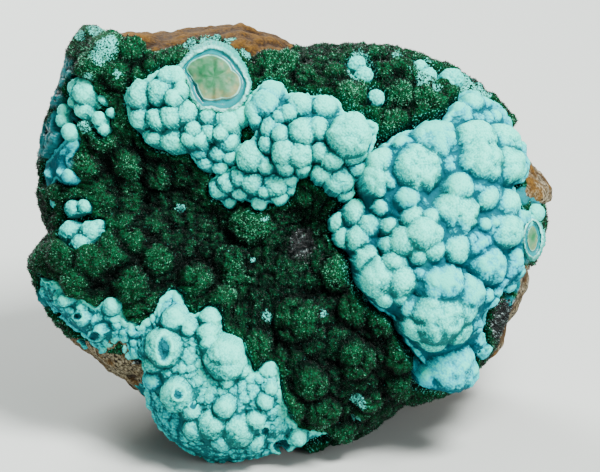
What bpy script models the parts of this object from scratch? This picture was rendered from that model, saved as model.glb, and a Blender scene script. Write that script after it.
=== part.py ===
"""Malachite with chrysocolla: a hand-sized mineral specimen standing on its own flat broken base.

A crust of dark green malachite lumps covers the front of a brown limonite matrix, and rounded
growths of pale blue chrysocolla sit on the malachite. One growth has a ball broken open.

Everything is first shaped in the frame of the display face, in millimetres: across runs to the
viewer's right, up runs up the face and out comes off the face. An empty tilts that frame back,
so that the specimen stands on its base with +Z up and its face towards -Y.
"""

import math

import bmesh
import bpy
import numpy as np
from mathutils import Matrix, Vector, noise

MM = 0.001

# Driving dimensions, in millimetres and degrees
FACE_TILT = 22.0          # the face leans back from the upright by this much
FACE_HEIGHT = 29.9        # the face's middle stands this high above the base
GAP = 0.4                 # room between minerals that touch
MIDDLE = (-1.0, 0.0, -4.0)  # the point that every skin is measured from
FRONT_DEPTH = 19.0        # how far the crust swells in front of that point
BACK_DEPTH = 27.0         # how far the matrix goes behind it
SQUARENESS = 3.2          # 2 is an ellipsoid, and larger is boxier
SEAM_OUT = -6.5           # where the crust meets the matrix
SEAM_WAVE = 1.2           # how much that seam undulates
SEAM_PITCH = 9.5          # an undulation's length, over two pi
SEAM_REACH = 75.0         # the seam's cutters reach this far each way
SEAM_STEPS = 30

BLOCK_SIZE = 300.0        # the side of the block under the base that cuts it flat
BLOCK_DETAIL = 6
WELD = 0.02               # vertices closer than this are one
HALVINGS = 24             # how often the search for the crust's height halves its interval

# Triangles that each mineral is thinned to before it is cut to its neighbours
CRUST_FACES = 3200
MATRIX_FACES = 800

# The crust's outline on the face, (across, up), clockwise from the top left
CRUST_OUTLINE = (
    (-33, 32), (-26, 31), (-19, 30), (-9, 29.5), (0, 27.5), (10, 27.8), (20, 26), (27, 22.5),
    (33, 16), (36, 9.5), (37.5, 2), (35.5, -4), (32, -12), (29.5, -18), (23, -23.5), (15, -25),
    (8.5, -30), (3, -32), (-4, -34.5), (-14, -34), (-22, -27), (-30, -20), (-35.5, -14),
    (-39.5, -8.5), (-41, -4), (-37.5, 0), (-39.5, 7), (-39, 15), (-36.5, 22), (-35.5, 28),
)

# The matrix shows past the crust along the top, at the right and at the lower left
MATRIX_OUTLINE = (
    (-32, 31), (-25, 31.5), (-18, 32.2), (-9, 33), (-2.5, 30.2), (3, 26.5), (10, 26), (19, 24.5),
    (26, 20), (32, 16), (36.5, 10.3), (39, 7.5), (38, 2), (36, -4), (34, -10), (30.5, -17),
    (23, -22), (15, -24), (8, -28), (0, -31), (-14, -31), (-22, -26), (-30, -21.2),
    (-36, -15.6), (-37.5, -9), (-39, -4), (-36, 0), (-37.5, 8), (-37, 16), (-35, 24),
)

# Broad swells and hollows of the crust: (across, up, height, spread)
CRUST_RELIEF = (
    (-17, 20, 4.0, 6.0), (1, 15, 4.5, 6.0), (20, 2, 6.5, 9.5), (-14, -23, 4.5, 8.0),
    (5, -16, 3.0, 7.0), (-31, 27, 2.0, 6.0), (-18, 4, -8.0, 8.0), (3, 3, -7.0, 5.0),
    (-28, 9, -4.0, 4.5), (4.3, -9, -2.0, 2.5), (12, 22, 1.5, 7.0), (-33, -6, 2.0, 5.0),
    (-8, -9, -2.5, 5.0),
)

HIGHEST_SWELL = 12.0      # no swell rises further than this in front of the block
SWELL_FADE = 8.0          # the swells grow from nothing to full over this depth

# Small lumps all over the crust, flanks and all
PEBBLE_PITCH = 6.0
PEBBLE_RISE = 1.9
PEBBLE_REACH = 0.62       # a small lump's radius, against the pitch

# Broken facets of the matrix: (across, up, out) of the facet's direction, and its distance
MATRIX_FACETS = (
    (0.1, 0.15, -1.0, 25.5), (0.75, 0.1, -0.7, 35.0), (-0.7, 0.2, -0.75, 34.0),
    (0.15, 0.8, -0.6, 33.0), (-0.45, 0.75, -0.65, 35.0), (0.6, 0.65, -0.6, 35.5),
    (-0.55, -0.6, -0.6, 33.0), (0.75, -0.45, -0.45, 35.5), (-0.25, 0.35, -0.9, 27.0),
    (0.45, 0.1, -0.9, 28.5),
)

# The matrix's roughness: its noise's frequency over the round block, and its height
MATRIX_ROUGHNESS = ((4.0, 2.2), (9.0, 1.4))
ROUGH_BEHIND = 0.2        # how far in front of the middle the roughness begins, as a share

CAP_SPREAD = 1.25         # a malachite lump's cap reaches this many radii along the crust

# Malachite lumps: (across, up, radius)
MALACHITE_LUMPS = (
    (7, 21.5, 1.8), (5, 24.5, 1.8), (3, 25, 2.0), (1, 24, 2.0), (-2, 25.5, 2.5), (-5, 26, 2.2),
    (11.8, 27, 1.6), (14.8, 25.6, 1.9), (15.4, 21.5, 1.9), (18.5, 21.5, 1.7), (14.5, 17, 2.4),
    (18.3, 18.5, 1.6), (21, 20, 1.6), (22.8, 21.5, 1.5), (17, 24, 1.8), (-30, 29, 3.0),
    (-31.5, 26, 2.5), (-26, 28, 2.3), (-28, 24.5, 2.0), (-22.5, 26, 1.8), (-33, 10.8, 2.2),
    (-37, 7, 1.5), (-26.5, 11.5, 2.6), (-22, 10, 2.5), (-7.5, 1.8, 3.2), (0.6, 6.8, 1.5),
    (-0.5, -13, 4.5), (-6.5, -17, 2.5), (1.5, -22, 3.5), (9, -12.5, 4.0), (6, -6, 3.0),
    (8.5, -18.5, 3.4), (15.5, -17.5, 3.5), (14.8, -22, 3.1), (10.2, -24.6, 2.0), (6.5, -29, 2.2),
    (-2, -26, 3.0), (3, -26, 3.0), (-36, -3, 2.6), (-32, -4, 2.6), (-34, -7, 2.4),
    (-29, -3, 2.5), (-26, -7.5, 2.8), (-22, -4, 2.5), (-16, -7, 2.8), (-30, 15, 2.0),
    (-26, -1, 2.2), (-11, -4, 2.5), (-12, -10, 2.2),
)

# Chrysocolla lumps of each growth: (across, up, radius)
DOME_BUNCH_LUMPS = (
    (-21.5, 21.9, 1.9), (-24.6, 21.6, 1.9), (-19.8, 18.6, 1.6), (-22.1, 18, 1.5),
    (-24.3, 18.2, 1.6), (-22.3, 15.6, 1.5), (-19.4, 14.9, 1.9), (-19.6, 24.2, 1.7),
    (-17.6, 19, 1.9), (-16.5, 16.4, 1.4), (-14.2, 16, 1.4), (-14.3, 18.6, 1.7), (-11.5, 17.6, 1.9),
    (-9.6, 18.6, 1.4), (-12.7, 12.9, 1.5), (-11.2, 14.6, 1.5), (-14.5, 11.4, 1.3),
)
CENTRE_LUMPS = (
    (-4.3, 22, 1.7), (-5.6, 19.9, 2.1), (0, 20, 1.9), (-2.4, 18.8, 1.4), (3.8, 19.7, 1.7),
    (0.6, 15.9, 2.1), (-3, 15.6, 1.4), (-2.4, 13, 1.9), (0, 12.7, 2.0), (7.6, 15.6, 3.0),
    (3.2, 13, 1.5), (4.9, 12, 1.7), (2.8, 16.4, 1.6), (8.2, 12.8, 1.9), (3.5, 10, 1.6),
    (0.5, 10.4, 1.4), (-7.4, 12.3, 2.1), (-7.2, 8.3, 1.8), (-3.8, 7.9, 1.7), (-5.2, 10.6, 1.5),
    (-12.2, 7.7, 1.7), (-9.4, 9, 1.4), (-6.3, 5.4, 1.3), (-9.8, 5.9, 1.3), (6, 8.9, 2.2),
    (8.8, 10.2, 1.5),
)
RIGHT_LUMPS = (
    (12.6, 11.2, 2.2), (12.1, 8.6, 2.4), (18, 10.1, 3.85), (20.6, 14.2, 3.4), (15.6, 14.1, 1.5),
    (26.6, 14.2, 3.3), (27.2, 11.2, 3.5), (30.7, 14.0, 2.8), (31.6, 10.6, 2.8), (23.6, 3.6, 3.4),
    (24.4, 7.5, 2.3), (28.4, 6, 2.2), (31.6, 4.6, 2.6), (31.4, 0.9, 3.0), (28.4, -3.8, 3.25),
    (6.6, 1.8, 1.7), (9, 3.0, 2.0), (11.2, 1.3, 1.8), (8.2, -0.5, 1.7), (16.2, -0.9, 2.1),
    (19, 0.6, 2.5), (19.6, -2.6, 2.1), (14.4, 1.8, 1.7), (17.6, 3.6, 1.8), (23.8, -1.8, 2.3),
    (10.6, -4, 2.0), (12.3, -6.5, 2.9), (15.4, -7.2, 2.4), (14.2, -3.9, 2.0), (22.3, -7.5, 3.1),
    (25.6, -8.5, 2.9), (24.3, -11.5, 3.0), (18.8, -12.5, 3.0), (20.8, -14.6, 1.8),
    (19.2, -7.8, 2.2), (16.6, 5.8, 2.2), (12.7, 4.7, 1.8), (26, 19.6, 2.0), (29.2, 18.4, 1.8),
    (24.4, 18.2, 1.6), (33.4, -2.5, 2.0), (35.2, 2.4, 2.0), (35, -0.8, 1.9), (31.2, -7.2, 2.2),
    (29.4, -11, 2.4), (27, -15.8, 2.2), (25.6, -19.2, 2.6), (22.6, -20.6, 2.7),
)
LOWER_LUMPS = (
    (-20.4, -10.2, 1.7), (-20.5, -15, 2.8), (-21.3, -18, 2.7), (-19.5, -20.4, 2.4),
    (-18.6, -12.6, 2.0), (-13.9, -12.6, 1.6), (-14.2, -15.2, 1.7), (-11.5, -19, 2.9),
    (-18.8, -24, 2.6), (-22.3, -22.1, 1.8), (-16.3, -17, 2.5), (-15.5, -20.5, 2.3),
    (-14.5, -23.4, 2.4), (-19.6, -26.8, 2.3), (-16.8, -28.4, 2.8), (-13, -27.4, 2.5),
    (-14.4, -30.8, 2.3), (-11.3, -24.4, 2.3), (-10.4, -29.2, 2.5), (-8, -25.6, 2.5),
    (-5, -24.4, 2.3), (-5.3, -28.6, 2.2), (-7.6, -31.0, 2.0), (-1.8, -29.2, 1.9),
    (-1.6, -31.6, 1.7), (-24.6, -13.6, 2.2), (-28.6, -11.8, 2.3), (-31.8, -13.6, 2.2),
    (-30.6, -16.2, 1.7), (-34.4, -11.6, 2.0), (-37.6, -10.4, 1.7), (-39.4, -7.4, 1.8),
    (-26.4, -16.6, 1.9),
)
CORNER_LUMPS = (
    (-33.2, 22.2, 1.9), (-34.8, 20.6, 1.3), (-33.4, 19.4, 1.6), (-36.2, 18.6, 1.5),
    (-35.2, 16.6, 1.3), (-30.9, 18, 1.5), (-29.2, 19.4, 1.1), (-30.6, 20.6, 1.2),
)
LEFT_DRAPE_LUMPS = (
    (-34.8, 12.4, 1.2), (-36.4, 12.2, 1.3), (-37.8, 10.8, 1.5), (-38.6, 9.0, 1.5), (-36.4, 9.6, 1.3),
    (-34.4, 9.4, 1.2),
)
TREFOIL_LUMPS = (
    (-34.6, 3.8, 1.4), (-33.0, 4.0, 1.2), (-35.0, 0.6, 1.9), (-33.7, -1.3, 1.6), (-32.3, 0.6, 1.7),
)
TOP_BALLS = (
    ((8.9, 26.0, 1.6), (9.8, 24.7, 1.5)),
    ((11.7, 21.1, 1.5),),
    ((18.2, 25.6, 1.4), (19.2, 24.6, 1.3)),
    ((23.4, 23.8, 1.8),),
)

# The ball that broke open: its rim's outline on the face, (across, up), and its middle
DOME_PLACE = (-13.2, 24.4)
DOME_RIM = (
    (-18.3, 25.4), (-17, 27), (-15, 28.3), (-13.5, 28.8), (-11.5, 28), (-10, 26.5), (-8.9, 24.9),
    (-8.3, 23.5), (-8.8, 21.5), (-10, 20.1), (-11.8, 19.6), (-13.5, 20.1), (-15, 20), (-16, 21.2),
    (-16.7, 23.5), (-17.3, 24.7),
)
# Its profile from the foot of its wall over the rim and the groove to the core: each a share of
# the outline's radius, a height over the crust and how deep the core's creases go there
DOME_PROFILE = (
    (1.34, -5.0, 0.0), (1.30, -1.0, 0.0), (1.16, 1.6, 0.0), (1.06, 3.0, 0.0), (0.97, 3.1, 0.0),
    (0.91, 2.5, 0.0), (0.84, 3.0, 0.5), (0.66, 3.9, 0.6), (0.34, 4.3, 0.3), (0.06, 4.4, 0.0),
)
DOME_CREASES = (23.0, 95.0, 177.0, 262.0)  # the bearings of the creases between its four lobes
CREASE_WIDTH = 0.3        # half a crease's width, in radians
DOME_SEGMENTS = 28
DOME_LEAN = 14.0          # the break leans back by this many degrees

# How a growth is built up from its lumps
LUMP_LIFT = 0.4           # a lump's centre above the crust, as a share of its radius
COAT_SPREAD = 1.58        # the coat round a lump, against the lump's radius
COAT_RISE = 0.62          # the coat's thickness, against the lump's radius
STEEPEST = 0.45           # steep flanks count as if they faced outwards by at least this much
SKIN_VOXEL = 0.5
LUMP_DETAIL = 3

# Triangles that each growth is thinned to before it is cut to the crust
UPPER_FACES = 1250
LOWER_FACES = 600
CORNER_FACES = 220
DRAPE_FACES = 140
TREFOIL_FACES = 120
BALL_FACES = 60

GREEN = (0.016, 0.105, 0.056, 1.0)
BROWN = (0.36, 0.19, 0.075, 1.0)
PALE_BLUE = (0.31, 0.66, 0.66, 1.0)


def clear_scene():
    """Remove every object, so that the model starts from nothing."""
    for thing in list(bpy.data.objects):
        bpy.data.objects.remove(thing, do_unlink=True)


def collection(name):
    """A new collection under the scene's own."""
    made = bpy.data.collections.new(name)
    bpy.context.scene.collection.children.link(made)
    return made


def mineral_material(name, colour, roughness):
    """A plain Principled finish for one mineral."""
    material = bpy.data.materials.new(name)
    material.use_nodes = True
    shader = material.node_tree.nodes["Principled BSDF"]
    shader.inputs["Base Color"].default_value = colour
    shader.inputs["Roughness"].default_value = roughness
    shader.inputs["Metallic"].default_value = 0.0
    material.diffuse_color = colour
    return material


def outline_radius(outline, angles, middle=MIDDLE[:2]):
    """The outline's distance from its middle at each angle round the face."""
    points = np.array(outline, float) - np.array(middle)
    bearing = np.arctan2(points[:, 1], points[:, 0])
    order = np.argsort(bearing)
    reach = np.hypot(points[:, 0], points[:, 1])[order]
    return np.interp(angles, bearing[order], reach, period=2 * math.pi)


def skin_reach(directions, outline):
    """How far the plain rounded block reaches from the middle in each direction."""
    flat = np.hypot(directions[:, 0], directions[:, 1])
    rim = outline_radius(outline, np.arctan2(directions[:, 1], directions[:, 0]))
    depth = np.where(directions[:, 2] > 0, FRONT_DEPTH, BACK_DEPTH)
    power = SQUARENESS
    sum_of_powers = (flat / rim) ** power + (np.abs(directions[:, 2]) / depth) ** power
    return sum_of_powers ** (-1 / power)


def relief_height(points):
    """The height of the broad swells and hollows at each point of the face."""
    height = np.zeros(len(points))
    for across, up, rise, spread in CRUST_RELIEF:
        distance = np.hypot(points[:, 0] - across, points[:, 1] - up)
        height += rise * np.exp(-(distance ** 2) / (2 * spread ** 2))
    return height * np.clip((points[:, 2] - MIDDLE[2]) / SWELL_FADE, 0, 1)


def crust_reach(directions):
    """How far the crust reaches from the middle: the block with its swells and hollows."""
    reach = skin_reach(directions, CRUST_OUTLINE)
    return reach + relief_height(np.array(MIDDLE) + directions * reach[:, None])


def lumpy_reach(directions):
    """The crust's reach with its lumps: each a round cap over the skin, the highest one winning."""
    reach = crust_reach(directions)
    skin = np.array(MIDDLE) + directions * reach[:, None]
    rise = np.array([pebble_rise(place) for place in skin])
    for across, up, radius in MALACHITE_LUMPS:
        centre = np.array((across, up, face_out(across, up)))
        distance = np.linalg.norm(skin - centre, axis=1)
        cap = np.sqrt(np.clip(radius ** 2 - (distance / CAP_SPREAD) ** 2, 0, None))
        rise = np.maximum(rise, cap)
    return reach + rise


def pebble_rise(place):
    """The small lumps' height at a place: a cell's middle is high, and its border is low."""
    nearest = noise.voronoi(Vector(place) / PEBBLE_PITCH)[0][0]
    return PEBBLE_RISE * max(0.0, 1 - (nearest / PEBBLE_REACH) ** 2)


def face_out(across, up):
    """How far off the face the crust stands at a place, found by halving the interval."""
    low, high = MIDDLE[2], FRONT_DEPTH + HIGHEST_SWELL
    for _ in range(HALVINGS):
        out = (low + high) / 2
        ray = np.array((across, up, out)) - np.array(MIDDLE)
        length = np.linalg.norm(ray)
        if crust_reach(ray[None] / length)[0] > length:
            low = out
        else:
            high = out
    return (low + high) / 2


def face_normal(across, up, step=0.8):
    """The direction straight off the crust at a place, from its slopes across and up."""
    slope_across = (face_out(across + step, up) - face_out(across - step, up)) / (2 * step)
    slope_up = (face_out(across, up + step) - face_out(across, up - step)) / (2 * step)
    return Vector((-slope_across, -slope_up, 1.0)).normalized()


def add_object(name, mesh, material, home):
    """A named object for a mesh, with its material."""
    thing = bpy.data.objects.new(name, mesh)
    if material is not None:
        mesh.materials.append(material)
    home.objects.link(thing)
    return thing


def round_block(name, reach_of, home):
    """An icosphere whose vertices are moved out to a reach that depends on their direction."""
    bm = bmesh.new()
    bmesh.ops.create_icosphere(bm, subdivisions=BLOCK_DETAIL, radius=1.0)
    directions = np.array([vertex.co for vertex in bm.verts])
    directions /= np.linalg.norm(directions, axis=1)[:, None]
    places = (np.array(MIDDLE) + directions * reach_of(directions)[:, None]) * MM
    for vertex, place in zip(bm.verts, places):
        vertex.co = place
    mesh = bpy.data.meshes.new(name)
    bm.to_mesh(mesh)
    bm.free()
    return add_object(name, mesh, None, home)


def settle(thing):
    """Turn an object's modifiers into its mesh."""
    view = bpy.context.evaluated_depsgraph_get()
    mesh = bpy.data.meshes.new_from_object(thing.evaluated_get(view))
    thing.modifiers.clear()
    old = thing.data
    thing.data = mesh
    bpy.data.meshes.remove(old)


def thin_to(thing, faces):
    """Thin a mesh to about so many triangles."""
    decimate = thing.modifiers.new("Thin", "DECIMATE")
    decimate.ratio = min(1.0, faces / max(1, len(thing.data.polygons)))
    decimate.use_collapse_triangulate = True
    settle(thing)


def combine(thing, other, operation):
    """Cut or keep an object by another, with an exact Boolean."""
    boolean = thing.modifiers.new("Boolean", "BOOLEAN")
    boolean.operation = operation
    boolean.solver = "EXACT"
    boolean.object = other
    settle(thing)


def keep_largest(thing):
    """Drop the crumbs that a cut leaves beside the main body, and split what isn't flat."""
    bm = bmesh.new()
    bm.from_mesh(thing.data)
    bmesh.ops.remove_doubles(bm, verts=bm.verts, dist=WELD * MM)
    waiting = set(bm.verts)
    islands = []
    while waiting:
        island = set()
        edge_of_island = [waiting.pop()]
        while edge_of_island:
            vertex = edge_of_island.pop()
            island.add(vertex)
            for edge in vertex.link_edges:
                other = edge.other_vert(vertex)
                if other in waiting:
                    waiting.remove(other)
                    edge_of_island.append(other)
        islands.append(island)
    islands.sort(key=len)
    for island in islands[:-1]:
        bmesh.ops.delete(bm, geom=list(island), context="VERTS")
    bmesh.ops.triangulate(bm, faces=bm.faces)
    bm.to_mesh(thing.data)
    bm.free()


def hide_cutter(thing):
    """Show a cutter as a wire only."""
    thing.hide_render = True
    thing.display_type = "WIRE"


def grown_copy(thing, name, home):
    """A copy of a star-shaped body, each vertex moved away from the middle by the gap."""
    copy = add_object(name, thing.data.copy(), None, home)
    mesh = copy.data
    count = len(mesh.vertices)
    places = np.empty(count * 3)
    mesh.vertices.foreach_get("co", places)
    places = places.reshape(count, 3)
    rays = places - np.array(MIDDLE) * MM
    rays /= np.linalg.norm(rays, axis=1)[:, None]
    normals = np.array([vertex.normal for vertex in mesh.vertices])
    facing = np.clip((normals * rays).sum(1), STEEPEST, 1.0)
    places += rays * (GAP * MM / facing)[:, None]
    mesh.vertices.foreach_set("co", places.ravel())
    hide_cutter(copy)
    return copy


def seam_cutter(name, offset, home):
    """A block in front of the wavy seam between crust and matrix."""
    bm = bmesh.new()
    bmesh.ops.create_grid(bm, x_segments=SEAM_STEPS, y_segments=SEAM_STEPS, size=SEAM_REACH * MM)
    for vertex in bm.verts:
        wave = math.sin(vertex.co.x / MM / SEAM_PITCH) + math.cos(vertex.co.y / MM / SEAM_PITCH)
        vertex.co.z = (SEAM_OUT + offset + SEAM_WAVE * wave) * MM
    lid = bmesh.ops.extrude_face_region(bm, geom=list(bm.faces))
    for vertex in (part for part in lid["geom"] if isinstance(part, bmesh.types.BMVert)):
        vertex.co.z = SEAM_REACH * MM
    bmesh.ops.recalc_face_normals(bm, faces=bm.faces)
    mesh = bpy.data.meshes.new(name)
    bm.to_mesh(mesh)
    bm.free()
    cutter = add_object(name, mesh, None, home)
    hide_cutter(cutter)
    return cutter


def floor_cutter(home):
    """A block whose top is the plane that the specimen stands on, in the face's frame."""
    mesh = bpy.data.meshes.new("floor_cutter")
    bm = bmesh.new()
    bmesh.ops.create_cube(bm, size=BLOCK_SIZE * MM)
    bm.to_mesh(mesh)
    bm.free()
    down = Matrix.Translation((0, 0, -BLOCK_SIZE * MM / 2))
    mesh.transform(face_to_world().inverted() @ down)
    cutter = add_object("floor_cutter", mesh, None, home)
    hide_cutter(cutter)
    return cutter


def face_to_world():
    """The turn and rise that stand the face's frame on the base."""
    turn = Matrix.Rotation(math.radians(90 - FACE_TILT), 4, "X")
    return Matrix.Translation((0, 0, FACE_HEIGHT * MM)) @ turn


def rough_reach(directions):
    """The matrix's reach: the rounded block cut by its broken facets, then roughened by noise."""
    reach = skin_reach(directions, MATRIX_OUTLINE)
    for across, up, out, distance in MATRIX_FACETS:
        facing = directions @ (np.array((across, up, out)) / math.hypot(across, up, out))
        cut = distance / np.clip(facing, 0.01, None)
        reach = np.where(facing > 0.01, np.minimum(reach, cut), reach)
    behind = np.clip(ROUGH_BEHIND - directions[:, 2], 0, 1)
    for frequency, height in MATRIX_ROUGHNESS:
        rough = np.array([noise.noise(Vector(direction) * frequency) for direction in directions])
        reach = reach + behind * height * rough
    return reach


def make_matrix(home, seam, floor):
    """The limonite matrix: the broken brown rock behind the seam."""
    matrix = round_block("limonite_matrix", rough_reach, home)
    thin_to(matrix, MATRIX_FACES)
    combine(matrix, seam, "DIFFERENCE")
    combine(matrix, floor, "DIFFERENCE")
    keep_largest(matrix)
    matrix.data.materials.append(mineral_material("limonite", BROWN, 0.85))
    return matrix


def add_lump(bm, across, up, radius):
    """A ball that stands off the crust, and the flat round coat that it grows from."""
    out = face_out(across, up)
    normal = face_normal(across, up)
    raised = out + LUMP_LIFT * radius / max(normal.z, STEEPEST)
    ball = Matrix.Translation(Vector((across, up, raised)) * MM)
    bmesh.ops.create_icosphere(bm, subdivisions=LUMP_DETAIL, radius=radius * MM, matrix=ball)
    coat = Matrix.Translation(Vector((across, up, out)) * MM)
    turn = Vector((0, 0, 1)).rotation_difference(normal).to_matrix().to_4x4()
    spread = COAT_SPREAD * radius * MM
    flatten = Matrix.Diagonal((spread, spread, COAT_RISE * radius * MM, 1.0))
    bmesh.ops.create_icosphere(bm, subdivisions=LUMP_DETAIL, radius=1.0, matrix=coat @ turn @ flatten)


def fused_lumps(name, lumps, faces, home):
    """Balls and the coat under them, fused in one skin and thinned."""
    bm = bmesh.new()
    for lump in lumps:
        add_lump(bm, *lump)
    mesh = bpy.data.meshes.new(name)
    bm.to_mesh(mesh)
    bm.free()
    growth = add_object(name, mesh, None, home)
    skin = growth.modifiers.new("Skin", "REMESH")
    skin.mode = "VOXEL"
    skin.voxel_size = SKIN_VOXEL * MM
    settle(growth)
    thin_to(growth, faces)
    return growth


def dome_ring(share, height, crease):
    """The places round one ring of the broken dome."""
    turns = np.linspace(-math.pi, math.pi, DOME_SEGMENTS, endpoint=False)
    reach = share * outline_radius(DOME_RIM, turns, DOME_PLACE)
    across = DOME_PLACE[0] + reach * np.cos(turns)
    up = DOME_PLACE[1] + reach * np.sin(turns)
    out = face_out(*DOME_PLACE) + height - math.tan(math.radians(DOME_LEAN)) * (up - DOME_PLACE[1])
    for bearing in DOME_CREASES:
        aside = np.angle(np.exp(1j * (turns - math.radians(bearing))))
        out -= crease * np.exp(-(aside / CREASE_WIDTH) ** 2)
    return np.stack([across, up, out], axis=1) * MM


def broken_dome(home):
    """The broken ball: a circle drawn inwards ring by ring over wall, rim, groove and core."""
    bm = bmesh.new()
    ring = bmesh.ops.create_circle(bm, cap_ends=True, segments=DOME_SEGMENTS, radius=1.0)["verts"]
    ring.sort(key=lambda vertex: math.atan2(vertex.co.y, vertex.co.x))
    for vertex, place in zip(ring, dome_ring(*DOME_PROFILE[0])):
        vertex.co = place
    for station in DOME_PROFILE[1:]:
        edges = [bm.edges.get((ring[i - 1], ring[i])) for i in range(DOME_SEGMENTS)]
        grown = bmesh.ops.extrude_edge_only(bm, edges=edges)["geom"]
        new = {vertex for vertex in grown if isinstance(vertex, bmesh.types.BMVert)}
        ring = [next(edge.other_vert(old) for edge in old.link_edges if edge.other_vert(old) in new)
                for old in ring]
        for vertex, place in zip(ring, dome_ring(*station)):
            vertex.co = place
    bmesh.ops.contextual_create(bm, geom=ring)
    bmesh.ops.triangulate(bm, faces=bm.faces)
    bmesh.ops.recalc_face_normals(bm, faces=bm.faces)
    mesh = bpy.data.meshes.new("broken_dome")
    bm.to_mesh(mesh)
    bm.free()
    dome = add_object("broken_dome", mesh, None, home)
    hide_cutter(dome)
    return dome


def build_crust(home, cutters, keeper, floor, material):
    """The malachite crust, and the slightly larger copy that seats the growths on it."""
    crust = round_block("malachite_crust", lumpy_reach, home)
    thin_to(crust, CRUST_FACES)
    seat = grown_copy(crust, "seat_cutter", cutters)
    combine(crust, keeper, "INTERSECT")
    combine(crust, floor, "DIFFERENCE")
    keep_largest(crust)
    crust.data.materials.append(material)
    return seat


def build_growths(home, seat, floor, dome, material):
    """Every growth of chrysocolla, cut to the crust that it sits on."""
    growths = [
        ("chrysocolla_upper_growth", DOME_BUNCH_LUMPS + CENTRE_LUMPS + RIGHT_LUMPS, UPPER_FACES),
        ("chrysocolla_lower_growth", LOWER_LUMPS, LOWER_FACES),
        ("chrysocolla_corner_growth", CORNER_LUMPS, CORNER_FACES),
        ("chrysocolla_left_drape", LEFT_DRAPE_LUMPS, DRAPE_FACES),
        ("chrysocolla_trefoil", TREFOIL_LUMPS, TREFOIL_FACES),
    ]
    for number, balls in enumerate(TOP_BALLS, 1):
        growths.append((f"chrysocolla_top_ball_{number}", balls, BALL_FACES))
    for name, lumps, faces in growths:
        growth = fused_lumps(name, lumps, faces, home)
        if name == "chrysocolla_upper_growth":
            combine(growth, dome, "UNION")
        combine(growth, seat, "DIFFERENCE")
        combine(growth, floor, "DIFFERENCE")
        keep_largest(growth)
        growth.data.materials.append(material)


def stand_up(home, cutters):
    """Hang everything from a frame that leans back, and centre the minerals over the origin."""
    stand = bpy.data.objects.new("display_face", None)
    home.objects.link(stand)
    stand.matrix_world = face_to_world()
    for thing in list(home.objects) + list(cutters.objects):
        if thing is not stand:
            thing.parent = stand
    bpy.context.view_layer.update()
    corners = np.array([thing.matrix_world @ vertex.co for thing in home.objects
                        if thing.type == "MESH" for vertex in thing.data.vertices])
    centre = (corners.min(0) + corners.max(0)) / 2
    stand.location.x -= centre[0]
    stand.location.y -= centre[1]
    bpy.context.view_layer.update()


def main():
    """Build every mineral and stand the specimen up."""
    clear_scene()
    home = collection("malachite_with_chrysocolla")
    cutters = collection("cutters")
    floor = floor_cutter(cutters)
    make_matrix(home, seam_cutter("front_of_seam", -GAP / 2, cutters), floor)
    keeper = seam_cutter("crust_keeper", GAP / 2, cutters)
    seat = build_crust(home, cutters, keeper, floor, mineral_material("malachite", GREEN, 0.6))
    chrysocolla = mineral_material("chrysocolla", PALE_BLUE, 0.75)
    build_growths(home, seat, floor, broken_dome(cutters), chrysocolla)
    stand_up(home, cutters)


main()
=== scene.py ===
"""Malachite with chrysocolla: the finished look of the specimen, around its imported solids.

Every mineral skin is a numpy grid laid over the specimen's rounded block and pushed out by its
lumps, grain and crystals. Shapes are worked out in millimetres in the frame of the display face:
across to the viewer's right, up the face, and out towards the viewer.
"""

import logging
import math
from dataclasses import dataclass, field

import bpy
import numpy as np
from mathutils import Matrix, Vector


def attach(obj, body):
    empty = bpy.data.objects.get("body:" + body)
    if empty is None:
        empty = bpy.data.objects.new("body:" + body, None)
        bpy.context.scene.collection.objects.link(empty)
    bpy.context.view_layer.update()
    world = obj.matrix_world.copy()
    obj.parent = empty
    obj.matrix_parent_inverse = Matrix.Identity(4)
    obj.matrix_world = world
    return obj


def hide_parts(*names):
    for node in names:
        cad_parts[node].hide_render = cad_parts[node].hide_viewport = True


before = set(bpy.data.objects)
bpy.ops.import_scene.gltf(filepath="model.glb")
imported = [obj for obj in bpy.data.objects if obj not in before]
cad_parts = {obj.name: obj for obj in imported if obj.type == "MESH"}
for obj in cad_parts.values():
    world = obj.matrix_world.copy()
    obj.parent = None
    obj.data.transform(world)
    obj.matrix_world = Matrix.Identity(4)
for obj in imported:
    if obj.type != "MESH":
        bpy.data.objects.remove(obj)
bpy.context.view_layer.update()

MM = 0.001
LOG = logging.getLogger("specimen")

# The block's driving sizes, in millimetres and degrees, the same as the solids'
FACE_TILT = 22.0
FACE_SHIFT = (1.15, -3.10, 29.9)
MIDDLE = np.array((-1.0, 0.0, -4.0))
# The growths are cast from this point, far enough behind for their balls to show whole
BEHIND = np.array((-1.0, 0.0, -27.0))
FRONT_DEPTH = 19.0
BACK_DEPTH = 27.0
SQUARENESS = 3.2
# The height that stands for no ball met, in millimetres
MISS = -9.0

CRUST_OUTLINE = (
    (-33, 32), (-26, 31), (-19, 30), (-9, 29.5), (0, 27.5), (10, 27.8), (20, 26), (27, 22.5),
    (33, 16), (36, 9.5), (37.5, 2), (35.5, -4), (32, -12), (29.5, -18), (23, -23.5), (15, -25),
    (8.5, -30), (3, -32), (-4, -34.5), (-14, -34), (-22, -27), (-30, -20), (-35.5, -14),
    (-39.5, -8.5), (-41, -4), (-37.5, 0), (-39.5, 7), (-39, 15), (-36.5, 22), (-35.5, 28),
)
MATRIX_OUTLINE = (
    (-32, 31), (-25, 31.5), (-18, 32.2), (-9, 33), (-2.5, 30.2), (3, 26.5), (10, 26), (19, 24.5),
    (26, 20), (32, 16), (36.5, 10.3), (39, 7.5), (38, 2), (36, -4), (34, -10), (30.5, -17),
    (23, -22), (15, -24), (8, -28), (0, -31), (-14, -31), (-22, -26), (-30, -21.2),
    (-36, -15.6), (-37.5, -9), (-39, -4), (-36, 0), (-37.5, 8), (-37, 16), (-35, 24),
)
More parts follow.
